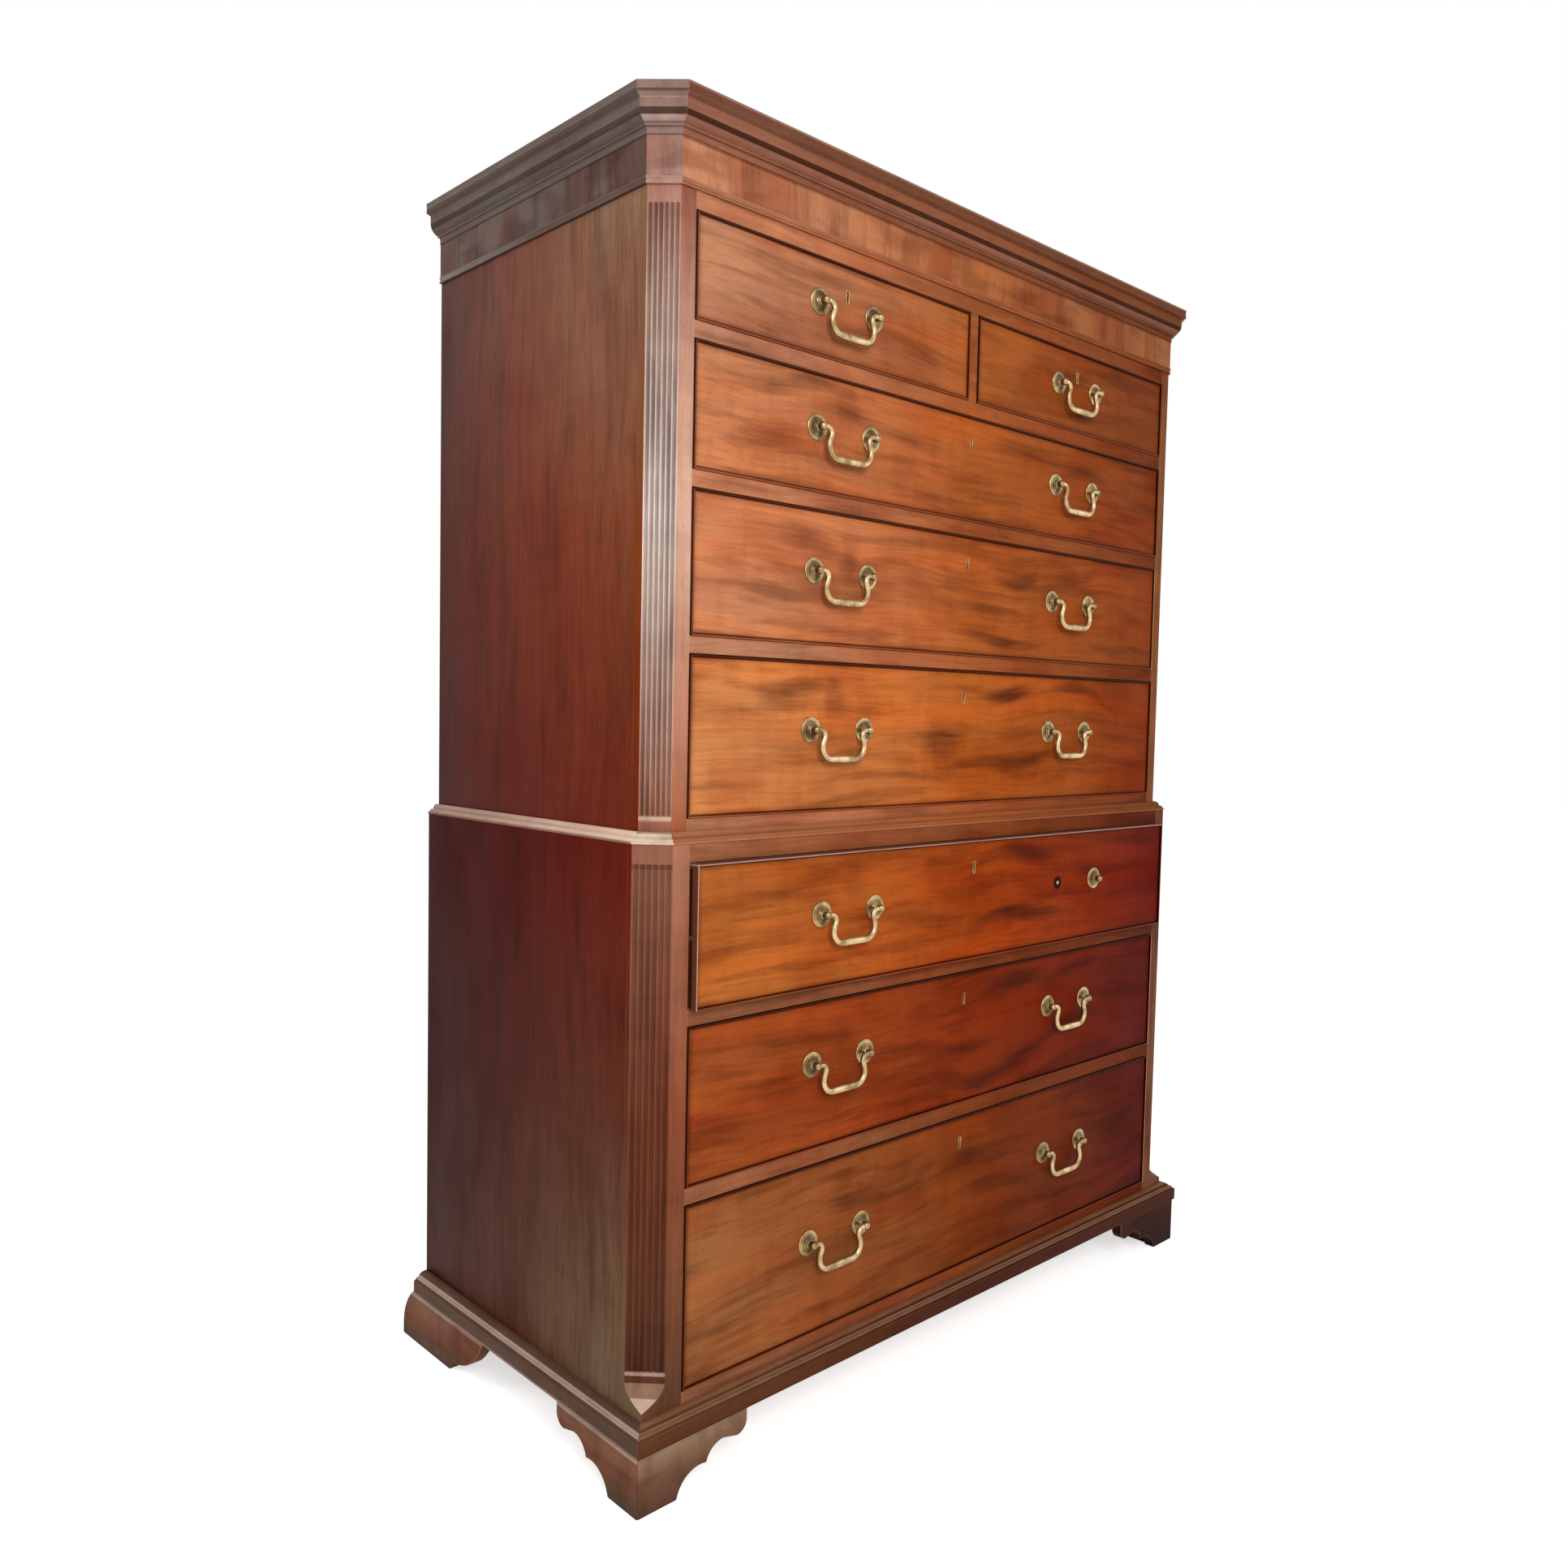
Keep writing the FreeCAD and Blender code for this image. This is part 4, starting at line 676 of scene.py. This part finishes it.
caseWorn = 0.2  # how worn the rounded edges are
finish = {name: wood(name, **look) for name, look in caseLooks.items()}
edgeFinish = {
    name: wood("rubbed " + name, **{**look, "wornAmount": caseWorn}) for name, look in caseLooks.items()
}

caseParts = {  # finish, material slot, rounding of the arrises in mm, nodes
    ("upper side mahogany", "case_mahogany", 0.6): ("upper_side_left", "upper_side_right"),
    ("lower side mahogany", "case_mahogany", 0.6): ("lower_side_left", "lower_side_right"),
    ("upper rail mahogany", "post_mahogany", 0.5): ("upper_rails",),
    ("lower rail mahogany", "post_mahogany", 0.5): ("lower_rails",),
    ("waist mahogany", "moulding_mahogany", 0.5): ("waist_moulding",),
    ("base mahogany", "moulding_mahogany", 0.5): ("base_moulding",),
    ("foot mahogany", "moulding_mahogany", 1.6): ("front_feet", "back_feet"),
    ("crossbanded frieze mahogany", "frieze_mahogany", 0.4): ("frieze",),
    ("frieze bead mahogany", "moulding_mahogany", 0.3): ("frieze_bead",),
    ("cornice mahogany", "moulding_mahogany", 0.4): ("cornice",),
    ("pine", "secondary_wood", 0.6): (
        "lower_bottom_board", "lower_top_board", "lower_dust_boards",
        "upper_bottom_board", "upper_top_board", "upper_dust_boards",
    ),
    ("pine", "secondary_wood", 0.4): tuple(drawer + "_box" for drawer in drawers),
    ("back pine", "back_wood", 1.0): ("lower_backboards", "upper_backboards"),
}
solids = 0
for (name, slot, width), group in caseParts.items():
    for node in group:
        solids += softened(node, nodes[node]["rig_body"], (finish[name], edgeFinish[name]), width)
print("case parts", solids)

posts = {  # all in mm; the flutes have their ends' heights, the tongue has its tip's and its shoulder's
    "lower": {
        "body": "lower_chest", "inner": 566.5, "half": 631, "depth": 44, "cant": 37.5,
        "flutes": (162, 822), "flutePitch": 8.3, "fluteWidth": 6.4, "tongue": (122, 149),
    },
    "upper": {
        "body": "upper_chest", "inner": 559.5, "half": 614, "depth": 44, "cant": 30.5,
        "flutes": (881, 1645), "flutePitch": 6.8, "fluteWidth": 5.4, "tongue": None,
    },
}
fluteCount, fluteDepth = 6, 2.2
fluteSteps, endSteps, tongueSteps = 12, 9, 15  # points across a flute, up its round end and up the tongue
tongueEven, tonguePower = 0.1, 2.4  # share of the tongue's swell that grows evenly, and the rest's power


def postSkin(size, side, low, high):
    # the plan of the post carried up; the cant sinks by a round hollow in each flute, measured from the
    # flute's middle line so that its ends are round, and swells to the arris by a power of the way down
    cant, half, front, pitch = size["cant"], size["half"], low.y / mm, size["flutePitch"]
    wide = cant * math.sqrt(2)
    reach = pitch * fluteCount / 2
    steps = np.linspace(-1, 1, fluteCount * fluteSteps + 1) * reach
    s = np.concatenate([[-wide / 2], steps, [wide / 2]])  # along the cant, from the stile to the side
    z0, z1 = size["flutes"]
    radius = size["fluteWidth"] / 2
    ends = np.linspace(0, 1, endSteps) ** 1.5 * radius  # closer together where the end turns fastest
    z = [low.z / mm, z0 - 0.2, *(z0 + ends), *(z1 - ends[::-1]), z1 + 0.2, high.z / mm]
    if size["tongue"]:
        tip, shoulder = size["tongue"]
        z = [low.z / mm, tip - 0.01, *np.linspace(tip, shoulder, tongueSteps), shoulder + 0.01, *z[1:]]
    z = np.unique(np.array(z))
    sGrid, zGrid = np.meshgrid(s, z)
    middle = (np.round(sGrid / pitch - 0.5) + 0.5) * pitch
    middle = np.clip(middle, -reach + pitch / 2, reach - pitch / 2)
    below = np.maximum(0, z0 + radius - zGrid)
    above = np.maximum(0, zGrid - z1 + radius)
    off = np.hypot(sGrid - middle, np.maximum(below, above)) / radius
    sink = fluteDepth * np.sqrt(np.maximum(0, 1 - off ** 2))
    swell = np.zeros_like(zGrid)
    if size["tongue"]:
        way = np.clip((shoulder - zGrid) / (shoulder - tip), 0, 1)
        swell = wide / 2 * (tongueEven * way + (1 - tongueEven) * way ** tonguePower)
    narrow = 1 - swell / (wide / 2)  # near the tongue the cant narrows as it swells out
    out = swell - sink
    rows = np.ones((len(z), 1))
    back = front + size["depth"]
    x = [size["inner"] * rows, half - cant / 2 + (sGrid * narrow + out) * math.sqrt(0.5), half * rows,
         size["inner"] * rows]
    y = [front * rows, front + cant / 2 + (sGrid * narrow - out) * math.sqrt(0.5), back * rows, back * rows]
    x, y = np.concatenate(x, axis=1) * side, np.concatenate(y, axis=1)
    points = np.stack([x, y, np.broadcast_to(z[:, None], x.shape)], axis=-1) * mm
    # the flutes' depth; the finish darkens it as dirt and painted shade
    dark = np.pad(sink / fluteDepth, ((0, 0), (1, 2)))  # nothing on the three plain corners
    return points, sheetFaces(*points.shape[:2]), dark


for level, size in posts.items():
    low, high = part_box(level + "_corner_posts")
    skins = [postSkin(size, side, low, high) for side in (-1, 1)]
    materials = [finish[f"{level} {side} post mahogany"] for side in ("left", "right")]
    makePiece(
        level + "_fluted_posts", [skin[:2] for skin in skins], materials, size["body"],
        level + "_corner_posts", sharp=24, hollow=np.concatenate([skin[2].ravel() for skin in skins]),
    )
print("corner posts")

brass = {  # in mm
    "rose": [  # radius and height of the turned profile
        (0.01, 0), (18.1, 0), (18.5, 0.5), (18.4, 1.2), (17.8, 1.9), (16.8, 2.1), (15.8, 1.8), (15.0, 1.6),
        (14.2, 1.7), (12.4, 2.4), (10.4, 2.9), (8.8, 3.1), (8.2, 3.3), (7.8, 3.9), (7.0, 4.3), (6.0, 4.5),
        (5.2, 4.9), (4.5, 5.6), (4.2, 6.5), (4.4, 7.6),
    ],
    "dishFrom": (4.6, 6.5, 12.5, 14.8), "dishDirtAndShade": (0.2, 1, 0.9, 0),  # dirt and painted shade between the neck and the rim
    "brokenBolt": [(0.01, 0.1), (3.4, 0.1), (3.4, 0.6), (2.9, 1.3), (1.5, 1.8), (0.01, 1.9)],
    # the ball begins on the neck, at an angle, a little behind the bail's pin, and is hardly flattened
    "ballRadius": 5.9, "ballFrom": -1.02, "ballBack": 0.2, "ballFlat": 0.98,
    "pivot": 12.5, "spacing": 109, "beadStand": 2.5,
    "keyWidth": 2.5, "keyHeight": 8.5, "keyBelowTop": 42.7, "keyFoot": (0.72, 0.3),
    # the keyhole's wall: how far out of the hole and how far out of the front
    "keyWall": [(0, -4), (0, 0.55), (0.25, 0.8), (0.8, 0.85), (1.15, 0.6), (1.25, -0.4)],
    "lock": (60, 56, 11), "lockBehind": 22, "lockBelowTop": 3, "lockRound": 0.8, "lockPower": 0.12,
}
bail = {  # in mm, the flare in degrees: the oval bar, thicker in the grip, its turns, pin and collar
    "bar": 4.2, "grip": 5.4, "thick": 4.3, "drop": 41.3, "neck": 8, "corner": 18, "flare": 21,
    "pin": 2.2, "pinDepth": 4.0, "collar": 3.9, "collarHalf": 1.4, "shoulder": 3.5, "postFace": 5.3,
    "lead": 3.0,
}
turnedCount, barCount = 36, 20  # points round each turned piece and round a bail
bailSteps, closeSteps = 400, 60  # steps along half a bail; the first ones, at its pin, are drawn closer


def turnedSkin(profile, x, y, z):
    # a profile of radius and height swung about an axis that comes straight out of the front
    radius, height = np.array(profile, float).T
    angle = np.linspace(0, 2 * np.pi, turnedCount, endpoint=False)
    points = np.stack([
        x + radius[:, None] * np.cos(angle),
        np.broadcast_to(y - height[:, None], (len(radius), turnedCount)),
        z + radius[:, None] * np.sin(angle),
    ], axis=-1) * mm
    return points, sheetFaces(*points.shape[:2])


def roseProfile():
    # the listed plate and neck, then a ball found from its radius
    ball = brass["ballRadius"]
    turn = np.linspace(brass["ballFrom"], math.pi / 2 - 0.002, 12)
    height = brass["pivot"] - brass["ballBack"] + ball * np.sin(turn) * brass["ballFlat"]
    return brass["rose"] + list(zip(ball * np.cos(turn), height))


def keyLining(x, y, z):
    # a thin rounded wall carried round the outline of a keyhole: a round head over a narrower foot
    head, tall, (foot, toe) = brass["keyWidth"], brass["keyHeight"], brass["keyFoot"]
    turn = np.linspace(-0.9, math.pi + 0.9, 22)
    outlineX = [[head * foot], head * np.cos(turn), [-head * foot], [-head * toe], [head * toe]]
    outlineZ = [[-tall], tall - head + head * np.sin(turn), [-tall], [-tall - 0.3], [-tall - 0.3]]
    path = np.stack([np.concatenate(outlineX), np.concatenate(outlineZ)], axis=-1)
    run = np.roll(path, -1, axis=0) - np.roll(path, 1, axis=0)
    normal = np.stack([run[:, 1], -run[:, 0]], axis=-1) / np.linalg.norm(run, axis=1)[:, None]
    section = np.array(brass["keyWall"])
    points = np.stack([
        x + path[:, None, 0] + normal[:, None, 0] * section[None, :, 0],
        np.broadcast_to(y - section[None, :, 1], (len(path), len(section))),
        z + path[:, None, 1] + normal[:, None, 1] * section[None, :, 0],
    ], axis=-1) * mm
    points = np.concatenate([points, points[:1]])
    return points, sheetFaces(*points.shape[:2], caps=False)


def lockPlate(x, inner, top):
    # a rounded oblong carried through the plate's thickness, drawn in by a quarter circle at both faces
    (wide, tall, thick), edge = brass["lock"], brass["lockRound"]
    turn = np.linspace(0, 2 * np.pi, 40, endpoint=False)
    power = brass["lockPower"]  # the lower, the squarer
    squareX = np.sign(np.cos(turn)) * np.abs(np.cos(turn)) ** power
    squareZ = np.sign(np.sin(turn)) * np.abs(np.sin(turn)) ** power
    way = np.linspace(-math.pi / 2, 0, 4)
    inset = np.concatenate([1 - np.cos(way), (1 - np.cos(way))[::-1]])
    depth = np.concatenate([edge * (1 + np.sin(way)), thick - edge * (1 + np.sin(way))[::-1]])
    points = np.stack([
        x + (wide / 2 - edge * inset[:, None]) * squareX,
        np.broadcast_to(inner - thick + depth[:, None], (len(depth), len(turn))),
        top - tall / 2 + (tall / 2 - edge * inset[:, None]) * squareZ,
    ], axis=-1) * mm
    return points, sheetFaces(*points.shape[:2])


def bailSkin(x, y, z):
    # an oval bar: its heading is a chain of straight runs and even turns, summed along half its length
    flare = math.radians(bail["flare"])
    turn = math.pi / 2 + flare
    half = brass["spacing"] / 2
    pinDepth, pin = bail["pinDepth"], bail["pin"]
    start = half - bail["postFace"] + pinDepth
    lead = pinDepth + bail["lead"]
    neckDrop = bail["neck"] * (1 - math.cos(turn))
    cornerDrop = bail["corner"] * (1 - math.cos(turn))
    straight = (bail["drop"] - neckDrop - cornerDrop) / math.cos(flare)
    knots = np.cumsum([0, lead, bail["neck"] * turn, straight, bail["corner"] * turn])
    used = straight * math.sin(flare) - lead - (bail["neck"] + bail["corner"]) * math.sin(turn)
    total = knots[-1] + start + used
    way = np.linspace(0, total, bailSteps)
    heading = np.interp(way, knots, [math.pi, math.pi, math.pi + turn, math.pi + turn, math.pi])
    step = way[1] - way[0]
    middle = (heading[1:] + heading[:-1]) / 2
    pathX = start + np.concatenate([[0], np.cumsum(np.cos(middle) * step)])
    pathZ = np.concatenate([[0], np.cumsum(np.sin(middle) * step)])
    # the bar swells towards the grip; at its end a round collar stands before the thin pin
    swell = np.clip((way - knots[3]) / (total - knots[3]), 0, 1)
    bar = np.interp(way, knots[1:3], [bail["shoulder"], bail["bar"]])
    radius = bar + (bail["grip"] - bail["bar"]) * np.sin(swell * math.pi / 2) ** 2
    collar = np.clip(1 - ((way - pinDepth - bail["collarHalf"]) / bail["collarHalf"]) ** 2, 0, 1)
    radius = np.maximum(np.where(way > pinDepth + 0.2, radius, pin), bail["collar"] * np.sqrt(collar))
    keep = [*range(0, closeSteps, 3), *range(closeSteps, bailSteps - 1, 6), bailSteps - 1]
    pathX, pathZ, heading, radius = pathX[keep], pathZ[keep], heading[keep], radius[keep]
    pathX[-1] = 0
    # the left half mirrors the right one
    pathX = np.concatenate([pathX, -pathX[-2::-1]])
    pathZ = np.concatenate([pathZ, pathZ[-2::-1]])
    heading = np.concatenate([heading, 2 * math.pi - heading[-2::-1]])
    radius = np.concatenate([radius, radius[-2::-1]])
    angle = np.linspace(0, 2 * np.pi, barCount, endpoint=False)
    out = radius[:, None] * np.sin(angle)
    points = np.stack([
        x + pathX[:, None] - out * np.sin(heading)[:, None],
        y + np.minimum(radius, bail["thick"])[:, None] * np.cos(angle),
        z + pathZ[:, None] + out * np.cos(heading)[:, None],
    ], axis=-1) * mm
    return points, sheetFaces(*points.shape[:2])


castBrass = agedBrass("aged cast brass")
handledBrass = agedBrass("aged brass, rubbed by hands", bright="#C9B084", dim="#907653", gloss=0.28)
pivots = {
    joint["child"]: np.array(joint["pos_m"]) / mm for joint in frame["joints"] if "_bail" in joint["child"]
}
rose = roseProfile()
dirtAndShade = np.interp([radius for radius, _ in rose], brass["dishFrom"], brass["dishDirtAndShade"])
dishedDirtAndShade = np.repeat(dirtAndShade, turnedCount)
for drawer in drawers:
    low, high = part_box(drawer + "_front")
    face, middle, top = low.y / mm + brass["beadStand"], (low.x + high.x) / 2 / mm, high.z / mm
    hung = {node: pivot for node, pivot in pivots.items() if node.startswith(drawer)}
    places = {pivot[0] + side * brass["spacing"] / 2 for pivot in hung.values() for side in (-1, 1)}
    height = next(iter(hung.values()))[2]
    others = []
    if drawer == "lower_top_drawer":
        # its right handle has lost the bail and one post, whose bolt is broken off in its hole
        others.append(turnedSkin(brass["brokenBolt"], -max(places), face, height))
        places.add(-min(places))
    others.append(keyLining(middle, face, top - brass["keyBelowTop"]))
    others.append(lockPlate(middle, face + brass["lockBehind"], top - brass["lockBelowTop"]))
    parts = [turnedSkin(rose, x, face, height) for x in sorted(places)] + others
    plain = np.zeros(sum(points.size // 3 for points, _ in others))
    makePiece(
        drawer + "_turned_brasses", parts, [castBrass], drawer, drawer + "_brasses",
        sharp=50, hollow=np.concatenate([*[dishedDirtAndShade] * len(places), plain]),
    )
    for node, pivot in hung.items():
        makePiece(node + "_swept", [bailSkin(*pivot)], [handledBrass], node, node)
print("brasses")

studio = {  # glow of the background and the floor, where 1 is full white, and the floor's rings in m
    "world": 0.5, "floor": "#F4F3F1", "floorGlow": 0.6,
    "rings": (0.001, 0.5, 1, 2, 4, 8, 16), "ringPoints": 64,
}
lamps = {  # place, target, size in m, power in W
    "key": ((-2.0, -3.4, 2.7), (-0.2, -0.3, 1.1), 1.8, 95),
    "fill": ((3.0, -3.2, 1.8), (0.2, -0.3, 0.9), 2.2, 22),
    "window": ((-2.8, 1.6, 2.2), (-0.6, 0.1, 1.3), 1.2, 24),
}
view = {  # place in m, angles in degrees, lens and sensor in mm
    "place": (-1.5631, -1.5161, 1.0153), "yaw": -43.147, "pitch": 3.172, "roll": 1.177,
    "lens": 28.545, "sensor": 36, "shift": (0.0034, -0.0011),
}


def seenRays(tree):
    # 1 for rays that look at the background: straight from the camera, mirrored or passed on
    rays = add(tree, "LightPath").outputs
    looking = maths(tree, "MAXIMUM", rays["Is Camera Ray"], rays["Is Glossy Ray"])
    return maths(tree, "MAXIMUM", looking, rays["Is Transmission Ray"])


def worldLight():
    # white to the eye and in reflections, dimmer as the light that falls on the chest
    world = bpy.data.worlds.new("studio")
    bpy.context.scene.world = world
    world.use_nodes = True
    tree = world.node_tree
    tree.nodes.clear()
    strength = mapped(tree, seenRays(tree), 0.0, 1.0, studio["world"], 1.0)
    light = add(tree, "Background", {0: (1, 1, 1, 1), 1: strength})
    add(tree, "OutputWorld", {0: light.outputs[0]})


def floorPiece():
    # a flat disc: rings of points round the middle, wider and wider
    radius, count = np.array(studio["rings"])[:, None], studio["ringPoints"]
    angle = np.linspace(0, 2 * np.pi, count, endpoint=False)
    flat = np.zeros((len(radius), count))
    points = np.stack([radius * np.cos(angle), radius * np.sin(angle), flat], axis=-1)
    mesh = bpy.data.meshes.new("floor")
    faces = sheetFaces(len(radius), count, caps=False)
    mesh.from_pydata(points.reshape(-1, 3), [], [face[::-1] for face in faces])
    # painted studio floor: white to the eye where no shadow falls, so it runs into the background
    material, tree = newTree("matt studio floor paint")
    glow = maths(tree, "MULTIPLY", seenRays(tree), studio["floorGlow"])
    shader = add(tree, "BsdfPrincipled", {
        "Base Color": linear(studio["floor"]), "Roughness": 0.9, "Emission Color": (1, 1, 1, 1),
        "Emission Strength": glow, "Specular IOR Level": 0.1,
    })
    add(tree, "OutputMaterial", {0: shader.outputs[0]})
    placed("floor", mesh, [material])


def cameraPlace():
    # yaw turns the view round the upright, pitch tips it, and roll tilts the picture
    a, p, r = (math.radians(view[key]) for key in ("yaw", "pitch", "roll"))
    back = np.array([math.sin(a) * math.cos(p), -math.cos(a) * math.cos(p), math.sin(p)])
    right = np.cross(-back, [0, 0, 1])
    right /= np.linalg.norm(right)
    up = np.cross(right, -back)
    whole = np.eye(4)
    whole[:3, 0] = math.cos(r) * right + math.sin(r) * up
    whole[:3, 1] = -math.sin(r) * right + math.cos(r) * up
    whole[:3, 2], whole[:3, 3] = back, view["place"]
    return Matrix(whole.tolist())


worldLight()
floorPiece()
for name, (spot, target, size, power) in lamps.items():
    lamp = bpy.data.lights.new(name, "AREA")
    lamp.energy, lamp.size = power, size
    holder = bpy.data.objects.new(name, lamp)
    bpy.context.scene.collection.objects.link(holder)
    holder.location = spot
    toward = Vector(target) - Vector(spot)
    holder.rotation_euler = toward.to_track_quat("-Z", "Y").to_euler()
cameraData = bpy.data.cameras.new("camera")
cameraData.lens, cameraData.sensor_width = view["lens"], view["sensor"]
cameraData.shift_x, cameraData.shift_y = view["shift"]
camera = bpy.data.objects.new("camera", cameraData)
bpy.context.scene.collection.objects.link(camera)
camera.matrix_world = cameraPlace()
bpy.context.scene.camera = camera
bpy.context.scene.view_settings.view_transform = "Standard"
print("stage")
